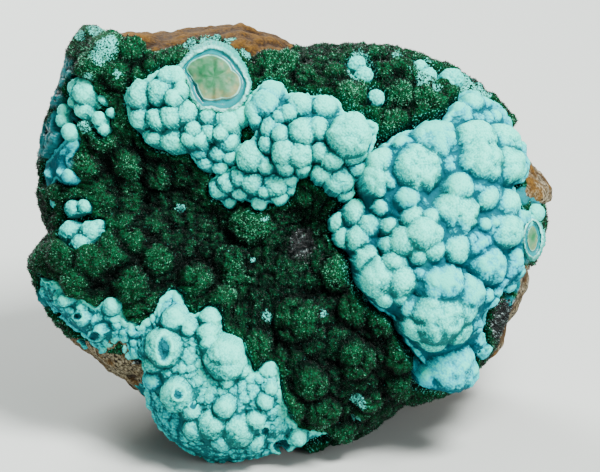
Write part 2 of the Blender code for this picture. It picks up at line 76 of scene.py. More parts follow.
MATRIX_FACETS = (
    (0.1, 0.15, -1.0, 25.5), (0.75, 0.1, -0.7, 35.0), (-0.7, 0.2, -0.75, 34.0),
    (0.15, 0.8, -0.6, 33.0), (-0.45, 0.75, -0.65, 35.0), (0.6, 0.65, -0.6, 35.5),
    (-0.55, -0.6, -0.6, 33.0), (0.75, -0.45, -0.45, 35.5), (-0.25, 0.35, -0.9, 27.0),
    (0.45, 0.1, -0.9, 28.5),
)
# Broad swells and hollows of the crust: (across, up, height, spread)
CRUST_RELIEF = (
    (-17, 20, 4.0, 6.0), (1, 15, 4.5, 6.0), (20, 2, 6.5, 9.5), (-14, -23, 4.5, 8.0),
    (5, -16, 3.0, 7.0), (-31, 27, 2.0, 6.0), (-18, 4, -8.0, 8.0), (3, 3, -7.0, 5.0),
    (-28, 9, -4.0, 4.5), (4.3, -9, -2.0, 2.5), (12, 22, 1.5, 7.0), (-33, -6, 2.0, 5.0),
    (-8, -9, -2.5, 5.0),
)
# Lumps: (across, up, radius), and for chrysocolla a tone from 0, pale, to 1, deep turquoise
MALACHITE_LUMPS = (
    (7, 21.5, 1.8), (5, 24.5, 1.8), (3, 25, 2.0), (1, 24, 2.0), (-2, 25.5, 2.5), (-5, 26, 2.2),
    (11.8, 27, 1.6), (14.8, 25.6, 1.9), (15.4, 21.5, 1.9), (18.5, 21.5, 1.7), (14.5, 17, 2.4),
    (18.3, 18.5, 1.6), (21, 20, 1.6), (22.8, 21.5, 1.5), (17, 24, 1.8), (-30, 29, 3.0),
    (-31.5, 26, 2.5), (-26, 28, 2.3), (-28, 24.5, 2.0), (-22.5, 26, 1.8), (-33, 10.8, 2.2),
    (-37, 7, 1.5), (-26.5, 11.5, 2.6), (-22, 10, 2.5), (-7.5, 1.8, 3.2), (0.6, 6.8, 1.5),
    (-0.5, -13, 3.4), (-6.5, -17, 2.5), (1.5, -22, 2.9), (8.6, -11.5, 2.6), (6, -6, 2.6),
    (8.5, -18.5, 3.0), (15.5, -17.5, 3.0), (14.8, -22, 2.7), (10.2, -24.6, 2.0), (6.5, -29, 2.2),
    (-2, -26, 3.0), (3, -26, 3.0), (-36, -3, 2.6), (-32, -4, 2.6), (-34, -7, 2.4),
    (-29, -3, 2.5), (-26, -7.5, 2.8), (-22, -4, 2.5), (-16, -7, 2.8), (-30, 15, 2.0),
    (-26, -1, 2.2), (-11, -4, 2.5), (-12, -10, 2.2), (9.5, 21.3, 1.6), (11, 18.6, 1.4),
    (12.3, 24.6, 1.6), (25.3, 22, 1.2), (20.5, 17.9, 1.2), (19, 23.2, 1.4), (21.5, -17.3, 2.0),
    (9, -26.3, 1.4), (12.5, -13, 2.3),
)
DOME_LUMPS = (
    (-21.5, 21.9, 1.9), (-19.6, 21.2, 1.2), (-24.6, 21.6, 1.9), (-19.8, 18.6, 1.6),
    (-22.1, 18, 1.5), (-24.3, 18.2, 1.6), (-22.3, 15.6, 1.5), (-19.4, 14.9, 1.9), (-19, 24.2, 1.6),
    (-20.5, 24.3, 1.2), (-18.4, 22.4, 1.2), (-17.6, 19, 1.9), (-16.5, 16.4, 1.15),
    (-14.2, 16, 1.2), (-14.3, 18.6, 1.7), (-11.5, 17.6, 1.9), (-17, 15, 1.2), (-15.5, 14.9, 1.1),
    (-12.3, 15.8, 1.0), (-9.6, 18.6, 1.4), (-12.7, 12.9, 1.3, 0.3), (-11.2, 14.6, 1.5, 0.3),
    (-14.5, 11.4, 1.2, 0.4), (-15.5, 13.2, 1.2, 0.4), (-12.4, 10.8, 1.2, 0.4),
    (-10.9, 12.3, 1.0, 0.5),
)
CENTRE_LUMPS = (
    (-4.3, 22, 1.7, 0.6), (-5.4, 20.2, 1.9, 0.6), (-7, 19.2, 1.3, 0.5), (-6.8, 17.9, 0.9, 0.5),
    (0, 20, 1.8, 0.1), (-1.6, 18.9, 1.2, 0.2), (-3.2, 18.3, 0.9, 0.4), (3.8, 19.7, 1.7),
    (0.6, 15.9, 2.1), (-3, 15.6, 1.2, 0.2), (-2.4, 13, 1.9), (0, 12.7, 2.0), (-2.2, 11.2, 1.4),
    (7.6, 15.6, 3.0), (7, 15.8, 1.3), (3.2, 13, 1.4), (4.9, 12, 1.7), (2.8, 16.4, 1.6),
    (8.2, 13, 1.8), (3.5, 10, 1.6, 0.1), (0.5, 10.8, 1.2), (10.8, 16.3, 0.7, 0.3),
    (6, 8.9, 2.2, 0.3), (8.8, 10.6, 1.2, 0.6), (7, 6.5, 1.0, 0.4), (-12.6, 7.3, 1.4, 0.2),
    (-11.2, 8.3, 1.4, 0.2), (-10.8, 5.2, 0.9, 0.4), (-9.2, 6.9, 1.2, 0.2), (-9.4, 9, 1.2, 0.2),
    (-7.4, 12.3, 2.1), (-7.2, 8.3, 1.7), (-3.8, 7.9, 1.7), (-5.2, 11, 1.2), (-3.2, 6.1, 1.2),
    (-4.4, 16.6, 1.6, 0.3), (-4.9, 14.2, 1.3, 0.3), (-1.6, 8.8, 1.0), (-6.3, 5.2, 1.1),
    (-5.5, 6.9, 0.9), (-1.5, 7, 0.6),
)
RIGHT_LUMPS = (
    (12.6, 11.2, 2.2), (12.1, 8.8, 2.4), (14, 8.1, 0.95), (12.4, 7, 1.0), (18, 10.1, 3.85),
    (20.6, 14.2, 3.4, 0.6), (15.6, 14.1, 1.3, 0.3), (27, 14.2, 3.3), (27.5, 11.5, 3.5),
    (30.7, 14.2, 3.0), (31.6, 11, 2.8), (33, 13.2, 1.2), (33.2, 10.3, 1.6), (23.6, 3.6, 3.4),
    (24.4, 7.5, 2.1, 0.2), (28.4, 6, 2.0), (31.4, 4.6, 2.4), (31, 0.9, 3.0, 0.2),
    (28.4, 1.7, 1.0, 0.8), (28.4, -4.2, 3.25, 0.75), (6.3, 2, 1.7), (8.8, 3.3, 2.1),
    (11.2, 1.7, 1.9), (7, -0.3, 1.6), (9.2, -0.5, 2.0), (16.2, -0.9, 2.4), (19, 0.3, 2.7),
    (18.3, -2.8, 1.8), (20.3, -2, 1.9), (17.5, 2.6, 1.9), (20, 2.6, 1.5), (14.2, 1.4, 1.5),
    (19.2, -4.3, 1.1), (23.8, -1.8, 2.2, 0.2), (10.6, -4, 2.3), (12.3, -6.5, 3.1),
    (15.4, -6.8, 2.6), (13, -9, 1.8), (14.6, -4.2, 2.1), (15.5, -9, 1.7), (21.6, -7.4, 3.3, 0.8),
    (25.6, -8.6, 2.6, 0.7), (20.9, -12.2, 4.2, 0.1), (24.2, -11.0, 2.7, 0.2), (18.3, -13.4, 2.7),
    (23.6, -14, 2.5), (20.4, -15.2, 2.5), (19.2, -7.8, 1.8, 0.7), (17.2, -10.7, 1.9, 0.6),
    (16.5, 5.8, 1.9, 0.7), (12.5, 4.5, 1.3, 0.3), (14, -1.5, 1.5, 0.3), (18.5, -5.8, 1.5, 0.8),
    (24.5, 19.2, 1.4, 0.3), (26.5, 20.3, 1.7, 0.3), (28.3, 20, 1.3, 0.3), (29.8, 18.2, 1.2, 0.2),
    (32.6, -3.2, 1.5, 0.9), (36.3, 3.6, 1.3, 0.2), (31.9, -7.2, 1.4, 0.9), (32.8, -5.2, 1.2, 0.6),
    (28.6, -9, 1.2, 0.8), (22.8, -20.2, 4.1, 0.8), (20.4, -21.6, 2.6, 1.0), (24.4, -22.4, 2.2, 0.8),
)
LOWER_LUMPS = (
    (-13.9, -12.7, 1.5), (-14.3, -14.9, 1.4), (-13.9, -16.6, 1.3), (-11.5, -18.9, 2.9),
    (-11.3, -22.3, 0.95), (-9.0, -20.6, 1.0), (-20.9, -17.3, 2.6), (-22.4, -19.6, 1.3),
    (-19.3, -13, 1.8, 0.2), (-17.2, -14.2, 1.1, 0.3),
    (-18.8, -24.4, 2.3), (-16.6, -26.8, 1.4, 0.2), (-22.6, -22.3, 1.3, 0.8), (-13.6, -28.8, 2.1),
    (-16.2, -29.6, 1.7, 0.2), (-9.6, -29.6, 2.3), (-12.2, -31.4, 1.5, 0.3), (-11.6, -26.4, 1.5, 0.1),
    (-6.9, -28.3, 1.4), (-7.2, -31.6, 1.4, 0.2), (-0.4, -30.9, 1.3), (-5.4, -25.4, 1.1, 0.2),
    (-4.5, -23.5, 0.9, 0.2), (-40.3, -7.2, 1.3, 0.3), (-36.2, -9.9, 0.9, 0.3),
    (-33.4, -12.8, 1.0, 0.4), (-29, -10.8, 1.3, 0.3), (-30.8, -14.6, 0.9, 0.6),
)
# Coats of grains without balls: (across, up, radius, tone)
LOWER_COATS = (
    (-19.6, -9.9, 1.5, 0.7), (-20.8, -12, 1.2, 0.5), (-22.5, -14.5, 1.5, 0.4), (-17.5, -16.5, 2.4, 0.2),
    (-16.5, -20, 2.6, 0.2), (-20.5, -21.8, 2.3, 0.3), (-15.4, -23.6, 2.5, 0.2), (-12.8, -24.8, 2.2, 0.3),
    (-22, -25.2, 1.6, 0.6), (-19.6, -28.2, 2.2, 0.6), (-9.4, -25.6, 2.4, 0.3), (-6.6, -24.2, 2.0, 0.3),
    (-4.2, -26.6, 2.0, 0.3), (-4.8, -22, 1.4, 0.3), (-4.6, -20.2, 0.9, 0.4), (-5.6, -29, 1.8, 0.3),
    (-2.6, -29.4, 1.7, 0.3), (-15.8, -32, 2.4, 0.4), (-12, -33.5, 2.5, 0.4), (-8, -33.8, 2.5, 0.4),
    (-4.4, -33.2, 2.2, 0.5), (-2.2, -31.8, 1.6, 0.4), (1.6, -31, 1.9, 0.3), (4.4, -30.8, 1.3, 0.5),
    (-18.5, -30.5, 2.2, 0.5), (-21, -28, 2.0, 0.6), (-0.6, -32.8, 1.3, 0.5),
    (-39.6, -7.4, 1.6, 0.2), (-37.6, -8.4, 1.6, 0.3), (-36, -10, 1.4, 0.3), (-33.8, -11.6, 1.5, 0.4),
    (-31.4, -13.4, 1.5, 0.4), (-29.4, -15.4, 1.4, 0.4), (-27, -14.4, 1.2, 0.5), (-26, -17.8, 1.1, 0.6),
    (-39, -9, 1.2, 0.6), (-37.4, -11, 1.3, 0.7), (-35, -11.4, 1.4, 0.6), (-33, -10.8, 0.9, 0.4),
    (-35, -13.2, 1.3, 0.7), (-32.4, -14.6, 1.6, 0.7), (-30.8, -12.6, 1.2, 0.5), (-28.4, -12.8, 1.1, 0.4),
    (-30.6, -16.8, 1.1, 0.6), (-33.4, -16.6, 0.9, 0.8), (-25.6, -14.6, 0.9, 0.7), (-23.8, -16.8, 1.3, 0.5),
)
CORNER_LUMPS = (
    (-33.2, 22.2, 1.9), (-34.6, 22.8, 1.3), (-33.4, 19.6, 1.45), (-36.4, 19.4, 1.0),
    (-36.5, 17.8, 1.1), (-35.4, 16, 1.4, 0.3), (-30.9, 18, 1.2), (-30.2, 16.4, 1.0),
    (-29, 19, 0.8), (-30.3, 21, 0.7), (-35, 20.6, 0.8),
)
# Broken balls that show a teal hollow: (across, up, half width, half height)
LOWER_CRATERS = (
    (-20.9, -17.2, 1.0, 1.9), (-18.6, -24.2, 0.8, 0.9), (-5.4, -30, 0.6, 0.6), (-2.8, -32.3, 1.3, 0.9),
    (-16.4, -26.2, 0.5, 0.4), (-31.6, -15.4, 0.8, 0.6), (-34.2, -12.4, 0.6, 0.5), (-37.4, -12, 0.6, 0.4),
)
LEFT_DRAPE_LUMPS = (
    (-37.7, 5.2, 0.9, 0.4), (-35.6, 9.2, 1.0, 0.8),
)
LEFT_DRAPE_COATS = (
    (-34.9, 14.2, 1.0, 0.8), (-36, 12.9, 1.2, 0.8), (-37.4, 11.6, 1.5, 0.8), (-38.8, 9.8, 1.6, 0.7),
    (-39.8, 8.2, 1.2, 0.6), (-38.2, 9, 1.2, 0.6), (-36.4, 9.6, 1.1, 0.7), (-34.9, 8.8, 0.8, 0.7),
)
RIGHT_COATS = (
    (22.5, 10.6, 2.0, 0.8), (24.2, 12.6, 1.5, 0.7), (26, 8.6, 1.6, 0.7), (16, 7.4, 1.6, 0.7),
    (13.2, 6.2, 1.3, 0.5), (26.6, -1.2, 2.0, 1.0), (20.6, -10.2, 2.0, 0.6), (29, 9.2, 1.4, 0.7),
    (34.6, 2.4, 1.1, 0.8), (34.4, 0, 1.2, 0.9),
    (31.4, -4.8, 1.5, 1.0), (29.8, -7, 1.5, 1.0), (27.6, -9.8, 1.2, 0.9), (26.6, -13.4, 1.2, 0.9),
    (27, -15.8, 1.2, 0.9), (28.2, -17.6, 1.2, 0.8), (24.4, 17.2, 1.6, 0.7), (28, 17.6, 1.6, 0.7),
    (29.8, 19.4, 1.2, 1.0), (31.4, 17.2, 1.3, 1.0), (25.6, 21.2, 1.0, 0.8), (10.6, 6.6, 1.0, 0.8),
    (15.6, 11.6, 1.5, 0.7), (14.2, 3.6, 1.2, 0.6), (22.4, 0.6, 1.6, 0.8), (16.6, -4.2, 1.2, 0.6),
)
TREFOIL_LUMPS = (
    (-35, 4.2, 1.3, 0.1), (-33.2, 4.5, 1.1, 0.1), (-35.2, 0.4, 1.9, 0.1), (-33.7, -1.3, 1.5, 0.1),
    (-32.3, 0.5, 1.7, 0.1), (-30.9, 1.7, 0.8, 0.1),
)
TOP_BALLS = (
    ((8.7, 26.2, 1.5, 0.2), (9.8, 24.6, 1.5, 0.2)),
    ((11.7, 21.1, 1.4, 0.2),),
    ((18.4, 25.8, 1.3, 0.3), (19.6, 24.6, 1.4, 0.3)),
    ((23.3, 24, 1.9, 0.2),),
)

# The malachite's lip where brown rock shows beyond it; elsewhere it runs far outside
CRUST_LIP = (
    (-44, 40), (-29.8, 31.6), (-27.4, 30.2), (-25, 28.9), (-22.5, 28.4), (-20, 29.3), (-16, 30.5),
    (-14, 30.2), (-10, 29.9), (-8.5, 29.3), (-7, 28.5), (-4, 28.2), (-1, 29), (1, 44),
    (44, 34), (33.2, 17.2), (31.9, 14.8), (34.3, 12.3), (35.2, 9.6), (35.2, 6.2), (50, 4),
    (50, -4.4), (35, -4.5), (33.5, -8.7), (32.3, -12.6), (31, -15.6), (40, -40),
    (3.5, -40), (1, -33.2), (-4.5, -33.6), (-13, -33.2), (-17, -31), (-20.5, -27.8), (-23.4, -24),
    (-24.5, -20.2), (-28, -18.6), (-31.5, -17.4), (-34.5, -15.2), (-54, -15),
)
# Where pale powder has settled on the malachite: (across, up, radius)
DUSTINGS = (
    (-29.6, 27.6, 1.5), (-27.3, 24.6, 0.6), (-31, 31.8, 1.7), (-5.3, 3, 0.5), (-7, -3.8, 0.4),
    (8.4, -24.4, 1.0), (8.2, -27.1, 0.6), (-35.4, 25.5, 1.0), (-34, 31, 0.9), (-14, 29.6, 1.6),
    (-10.6, 28.9, 1.4), (-31.5, 24.5, 0.5), (-8.4, 27.3, 1.0), (-17, 29, 1.2), (-23, 24, 0.7),
    (-26, 20.5, 1.0), (-18.4, 4.2, 0.8), (-9, -17.5, 1.0), (14.5, 26.5, 0.8), (20.6, 22, 0.9),
    (18.8, 24.2, 2.0), (24.6, 22.6, 1.6), (27.4, 21.4, 1.6), (9.2, 25.2, 2.2), (-4.8, -12.6, 0.8),
    (3.6, -12.4, 0.6), (10.4, -9.4, 0.8), (-32.6, 17, 1.2), (-31.2, 20.4, 1.0),
)
# The broken dome, seen from the front: its ring's and its core's outlines
DOME_MIDDLE = (-13.2, 24.4)
DOME_RING = (
    (-18.3, 25.4), (-17, 27), (-15, 28.3), (-13.5, 28.8), (-11.5, 28), (-10, 26.5), (-8.9, 24.9),
    (-8.3, 23.5), (-8.8, 21.5), (-10, 20.1), (-11.8, 19.6), (-13.5, 20.1), (-15, 20), (-16, 21.2),
    (-16.7, 23.5), (-17.3, 24.7),
)
DOME_CORE = (
    (-17.5, 25.7), (-16.9, 26.7), (-15.4, 27.5), (-14, 27.9), (-12.4, 27.5), (-11.0, 26.5),
    (-10.5, 25.5), (-9.3, 24.4), (-9.1, 23.2), (-9.6, 21.9), (-10.7, 21.2), (-12, 21.2), (-13.5, 20.9),
    (-14.8, 21.1), (-15.4, 22.1), (-15.8, 23.3), (-16.7, 24.5),
)

# What faces this way, to the right, up and out, is made paler: partly frost, partly painted light from the
# key's side
FROST_AND_LIGHT_WAY = np.array((0.26, 0.52, 0.81))
# Glassy teal patches without nap: (across, up, radius)
GLASSY = (
    (-38, 14.5, 2.6), (-36, 17.5, 1.6), (-35.8, 11, 1.6), (-36.8, 25.5, 2.2), (-37.5, 21.5, 1.6),
    (34, 6.2, 1.2), (36.3, 5.8, 1.1), (34.6, -2.6, 1.4), (33.2, -7, 1.2), (31.8, -10, 1.0),
    (-31, -17, 1.4), (-28.8, -14.7, 1.0), (-38.5, -9, 1.3),
)
# Patches of painted light, where the malachite and its crystals are made lighter and greener: (across, up,
# radius)
LIT_GREEN_PATCHES = (
    (-7.5, 2, 3.4), (13.2, 17, 2.0), (15.3, 21.2, 2.3), (7.3, 21, 1.9), (18.8, 20.5, 1.8),
    (-10, -7, 2.4), (6, -5.5, 1.8), (-30.5, 27, 3.0),
    (12.5, -11.5, 1.2), (-26, 11, 2.0), (-3, 25, 2.2), (3, -29, 2.0),
)
# Sparkling grey patches of small quartz crystals: (across, up, half width, half height)
DRUSES = ((30.2, -12.4, 1.9, 2.9), (0.3, -1.8, 2.0, 2.8), (-9, -22.5, 1.3, 1.0), (-27, -20, 3.0, 1.6))

Array = np.ndarray
Socket = bpy.types.NodeSocket


def linear(hex_colour: str) -> tuple[float, float, float, float]:
    """Turn an sRGB hex colour to linear.

    Args:
        hex_colour: Six hex digits after a hash mark.

    Returns:
        Linear red, green, blue, and an alpha of 1.
    """
    parts = [int(hex_colour[i:i + 2], 16) / 255 for i in (1, 3, 5)]
    red, green, blue = (c / 12.92 if c <= 0.04045 else ((c + 0.055) / 1.055) ** 2.4 for c in parts)
    return red, green, blue, 1.0


def smoothstep(value: Array, low: float, high: float) -> Array:
    """Rise from 0 to 1 between low and high, with level ends."""
    t = np.clip((value - low) / (high - low), 0.0, 1.0)
    return t * t * (3 - 2 * t)


class Grain:
    """Noise in space, worked out from hashed lattice cells, so that it is the same each run."""

    # Large odd numbers that scatter a cell's three numbers and the seed, and the 32 bits kept
    SCATTER = (73856093, 19349663, 83492791, 2654435)
    BITS = 0xFFFFFFFF

    @staticmethod
    def hashed(cells: Array, seed: int) -> Array:
        """Give each lattice cell a fixed number.

        Args:
            cells: Whole-numbered cells, (..., 3).
            seed: Picks another set of numbers.

        Returns:
            One number from 0 to 1 for each cell.
        """
        c = cells.astype(np.int64)
        first, second, third, fourth = Grain.SCATTER
        mixed = c[..., 0] * first ^ c[..., 1] * second ^ c[..., 2] * third ^ seed * fourth
        mixed = mixed & Grain.BITS
        mixed = (mixed ^ (mixed >> 15)) * 2246822519 & Grain.BITS
        mixed = (mixed ^ (mixed >> 13)) * 3266489917 & Grain.BITS
        return ((mixed ^ (mixed >> 16)) & 0xFFFFFF) / float(0xFFFFFF)

    @staticmethod
    def smooth(points: Array, pitch: float, seed: int = 0) -> Array:
        """Soft noise: the eight corners of each lattice cell blended by a smooth cubic.

        Args:
            points: Places in millimetres, (n, 3).
            pitch: The lattice's spacing in millimetres.
            seed: Picks another pattern.

        Returns:
            One number from -1 to 1 for each place.
        """
        scaled = points / pitch
        cell = np.floor(scaled)
        part = scaled - cell
        part = part * part * (3 - 2 * part)
        total = np.zeros(len(points))
        for corner in np.ndindex(2, 2, 2):
            weight = np.prod(np.where(np.array(corner) == 1, part, 1 - part), axis=1)
            total += weight * Grain.hashed(cell + np.array(corner), seed)
        return total * 2 - 1

    @staticmethod
    def cells(points: Array, pitch: float, seed: int = 0) -> tuple[Array, Array]:
        """Distances to the two nearest of the points that are scattered one in each cell.

        Args:
            points: Places in millimetres, (n, 3).
            pitch: The cells' spacing in millimetres.
            seed: Picks another scatter.

        Returns:
            The nearest and second nearest distance, as shares of the pitch.
        """
        scaled = points / pitch
        cell = np.floor(scaled)
        first = np.full(len(points), 9.0)
        second = np.full(len(points), 9.0)
        for offset in np.ndindex(3, 3, 3):
            there = cell + (np.array(offset) - 1)
            spot = np.stack([Grain.hashed(there, seed + k) for k in (1, 2, 3)], axis=1)
            gap = np.sqrt((((there + 0.15 + 0.7 * spot) - scaled) ** 2).sum(1))
            second = np.minimum(second, np.maximum(first, gap))
            first = np.minimum(first, gap)
        return first, second


class Block:
    """The rounded block under every mineral, and the frame of its display face."""

    @staticmethod
    def outline_radius(outline: tuple, angles: Array, middle: tuple = (-1.0, 0.0)) -> Array:
        """An outline's distance from its middle at each angle round the face."""
        points = np.array(outline, float) - np.array(middle)
        bearing = np.arctan2(points[:, 1], points[:, 0])
        order = np.argsort(bearing)
        reach = np.hypot(points[:, 0], points[:, 1])[order]
        return np.interp(angles, bearing[order], reach, period=2 * math.pi)

    @staticmethod
    def plain_reach(ways: Array, outline: tuple) -> Array:
        """How far a boxy ellipsoid with this outline reaches from the middle along each way."""
        flat = np.hypot(ways[:, 0], ways[:, 1])
        rim = Block.outline_radius(outline, np.arctan2(ways[:, 1], ways[:, 0]))
        depth = np.where(ways[:, 2] > 0, FRONT_DEPTH, BACK_DEPTH)
        powers = (flat / rim) ** SQUARENESS + (np.abs(ways[:, 2]) / depth) ** SQUARENESS
        return powers ** (-1 / SQUARENESS)

    @staticmethod
    def crust_reach(ways: Array) -> Array:
        """The block's reach with bell-shaped swells and hollows added on its front."""
        reach = Block.plain_reach(ways, CRUST_OUTLINE)
        skin = MIDDLE + ways * reach[:, None]
        height = np.zeros(len(ways))
        for across, up, rise, spread in CRUST_RELIEF:
            away = (skin[:, 0] - across) ** 2 + (skin[:, 1] - up) ** 2
            height += rise * np.exp(-away / (2 * spread ** 2))
        return reach + height * np.clip((skin[:, 2] - MIDDLE[2]) / 8.0, 0, 1)

    @staticmethod
    def ground(ways: Array) -> Array:
        """How far the crust is from the point behind along each way, by halving the interval."""
        low = np.zeros(len(ways))
        high = np.full(len(ways), 90.0)
        for _ in range(20):
            length = (low + high) / 2
            ray = BEHIND + ways * length[:, None] - MIDDLE
            away = np.linalg.norm(ray, axis=1)
            inside = Block.crust_reach(ray / away[:, None]) > away
            low, high = np.where(inside, length, low), np.where(inside, high, length)
        return (low + high) / 2

    @staticmethod
    def face_out(across: Array, up: Array) -> Array:
        """How far off the face the crust stands at each place, by halving the interval."""
        low = np.full(len(across), MIDDLE[2])
        high = np.full(len(across), FRONT_DEPTH + 12.0)
        for _ in range(26):
            out = (low + high) / 2
            ray = np.stack([across, up, out], axis=1) - MIDDLE
            length = np.linalg.norm(ray, axis=1)
            inside = Block.crust_reach(ray / length[:, None]) > length
            low, high = np.where(inside, out, low), np.where(inside, high, out)
        return (low + high) / 2

    @staticmethod
    def out_at(across: float, up: float) -> float:
        """How far off the face the crust stands at one place."""
        return float(Block.face_out(np.array([across]), np.array([up]))[0])

    @staticmethod
    def to_world(points: Array) -> Array:
        """Carry places from the face's frame, in millimetres, to the world, in metres."""
        tilt = math.radians(FACE_TILT)
        across, up, out = points[:, 0], points[:, 1], points[:, 2]
        depth = up * math.sin(tilt) - out * math.cos(tilt)
        height = up * math.cos(tilt) + out * math.sin(tilt)
        return (np.stack([across, depth, height], axis=1) + np.array(FACE_SHIFT)) * MM

    @staticmethod
    def stood(points: Array) -> Array:
        """Press what would pass below the shelf up to it, moving it along the upright only."""
        tilt = math.radians(FACE_TILT)
        height = points[:, 1] * math.cos(tilt) + points[:, 2] * math.sin(tilt) + FACE_SHIFT[2]
        lift = np.maximum(0.03 - height, 0)
        return points + np.outer(lift, (0.0, math.cos(tilt), math.sin(tilt)))


@dataclass
class Sheet:
    """A grid of places with two sides of its own, pushed about as whole arrays.

    The places run (rows, columns, 3) in the face's frame. A turn to the right of each row's
    direction is the next row's side, so that the faces look outwards.
    """

    places: Array

    @property
    def flat(self) -> Array:
        """The places as one list."""
        return self.places.reshape(-1, 3)

    def normals(self) -> Array:
        """Each place's outward direction: the cross product of the steps along both sides."""
        down = np.gradient(self.places, axis=0)
        along = np.gradient(self.places, axis=1)
        normal = np.cross(down, along)
        length = np.linalg.norm(normal, axis=2, keepdims=True)
        return (normal / np.maximum(length, 1e-9)).reshape(-1, 3)

    def push(self, height: Array) -> None:
        """Move every place along its normal by a height in millimetres."""
        self.places = (self.flat + self.normals() * height[:, None]).reshape(self.places.shape)

    def blurred(self, values: Array, cells: int) -> Array:
        """Average values on the grid over a square window, by running sums along both sides.

        Args:
            values: One number, or one row of numbers, for each place.
            cells: How many cells the window reaches each way.

        Returns:
            The averages, in the same order.
        """
        rows, columns = self.places.shape[:2]
        grid = values.reshape(rows, columns, -1)
        for axis in (0, 1):
            pad = [(0, 0)] * 3
            pad[axis] = (cells + 1, cells)
            sums = np.cumsum(np.pad(grid, pad, mode="edge"), axis=axis)
            size = grid.shape[axis]
            wide = 2 * cells + 1
            high = np.take(sums, range(wide, wide + size), axis=axis)
            low = np.take(sums, range(0, size), axis=axis)
            grid = (high - low) / wide
        return grid.reshape(values.shape)

    def relief(self, reach: float) -> Array:
        """How far each place stands above the average round it, from -1 in a crease to 1.

        Args:
            reach: Half the window's width in millimetres.

        Returns:
            One number for each place: its height over the averaged skin, against the reach.
        """
        step = float(np.median(np.linalg.norm(np.diff(self.places, axis=1), axis=2)))
        cells = max(1, int(round(reach / max(step, 1e-6))))
        mean = self.blurred(self.flat, cells)
        normal = self.normals()
        return np.clip(((self.flat - mean) * normal).sum(1) / reach * 3.0, -1, 1)


def keep_farthest(held: Array, near: Array, hit: Array, blend: float) -> Array:
    """Raise the held values to a ball's hits, softly where the two are close.

    Args:
        held: The farthest hits so far, which are changed.
        near: Which places lie near the ball.
        hit: The ball's own hit at each of those.
        blend: How softly two balls meet, in millimetres.

    Returns:
        Whether the ball is the one that shows, at each of those places.
    """
    old = held[near]
    mix = np.clip(0.5 + 0.5 * (hit - old) / blend, 0, 1)
    held[near] = old + (hit - old) * mix + blend * mix * (1 - mix)
    return mix > 0.5


def lump_height(points: Array, normals: Array, lumps: list, blend: float) -> Array:
    """Cast each place's normal onto balls and take the farthest hit, softly where two are close.

    Args:
        points: Places on the skin, in millimetres.
        normals: Their outward directions.
        lumps: (centre, radius, tone) of each ball.
        blend: How softly two balls meet, in millimetres.

    Returns:
        The height of the hit above each place, or -9 where no ball is met.
    """
    height = np.full(len(points), MISS)
    swell = 1 + 0.10 * Grain.smooth(points, 1.7, 6) + 0.05 * Grain.smooth(points, 0.8, 7)
    for centre, radius, _ in lumps:
        to_centre = centre - points
        near = (to_centre ** 2).sum(1) < (radius * 3.2) ** 2
        if not near.any():
            continue
        gap = to_centre[near]
        along = (gap * normals[near]).sum(1)
        inside = along ** 2 - (gap ** 2).sum(1) + (radius * swell[near]) ** 2
        hit = np.where(inside > 0, along + np.sqrt(np.clip(inside, 0, None)), MISS)
        keep_farthest(height, near, hit, blend)
    return height


def ball_reach(ways: Array, points: Array, lumps: list, blend: float = 0.34) -> tuple[Array, Array]:
    """Cast each direction from behind the block onto balls and take the farthest hit.

    A ball with centre c and radius r is left at c.w + sqrt((c.w)^2 - c^2 + r^2) along w.

    Args:
        ways: Unit directions from the point behind.
        points: Where those directions leave the crust, in millimetres.
        lumps: (centre, radius, tone) of each ball.
        blend: How softly two balls meet, in millimetres.

    Returns:
        The reach of the hit along each direction, or -9 where no ball is met, and the tone there.
    """
    reach = np.full(len(ways), MISS)
    tone = np.zeros(len(ways))
    swell = 1 + 0.11 * Grain.smooth(points, 2.0, 6) + 0.06 * Grain.smooth(points, 0.9, 7)
    for centre, radius, shade in lumps:
        near = ((centre - points) ** 2).sum(1) < (radius * 3.0 + 3.0) ** 2
        if not near.any():
            continue
        ahead = centre - BEHIND
        along = ways[near] @ ahead
        inside = along ** 2 - ahead @ ahead + (radius * swell[near]) ** 2
        hit = np.where(inside > 0, along + np.sqrt(np.clip(inside, 0, None)), MISS)
        tone[near] = np.where(keep_farthest(reach, near, hit, blend), shade, tone[near])
    return reach, tone


def bunch_depth(points: Array, lumps: list) -> tuple[Array, Array]:
    """How deep inside a bunch of balls each place is: bells summed over the balls.

    Args:
        points: Places on the skin, in millimetres.
        lumps: (centre, radius, tone) of each ball.

    Returns:
        The sum of exp(-(distance / 1.25 radius)^2), and the tone of the ball that counts most.
    """
    total = np.zeros(len(points))
    most = np.zeros(len(points))
    tone = np.zeros(len(points))
    for centre, radius, shade in lumps:
        bell = np.exp(-((points - centre) ** 2).sum(1) / (1.25 * radius) ** 2)
        tone = np.where(bell > most, shade, tone)
        most = np.maximum(most, bell)
        total += bell
    return total, tone


def dome_share(points: Array) -> Array:
    """How far inside the broken dome's ring each place is, in millimetres across the face."""
    gap = points[:, :2] - np.array(DOME_MIDDLE)
    rim = Block.outline_radius(DOME_RING, np.arctan2(gap[:, 1], gap[:, 0]), DOME_MIDDLE)
    return np.where(points[:, 2] > 0, rim - np.hypot(gap[:, 0], gap[:, 1]), MISS)


def patch_share(points: Array, patches: tuple) -> Array:
    """How surely each place on the front lies in one of some round or oval patches.

    Args:
        points: Places on the crust, in millimetres.
        patches: (across, up, half width) of each, and a half height where it differs.

    Returns:
        One number from 0 to 1 for each place.
    """
    most = np.zeros(len(points))
    front = points[:, 2] > -5.0
    ragged = 0.22 * Grain.smooth(points, 0.9, 15) + 0.2 * Grain.smooth(points, 2.2, 16)
    for across, up, wide, *tall in patches:
        away = np.hypot((points[:, 0] - across) / wide, (points[:, 1] - up) / (tall[0] if tall else wide))
        most = np.maximum(most, np.where(front, smoothstep(1.25 - away + ragged, 0.0, 0.5), 0.0))
    return most


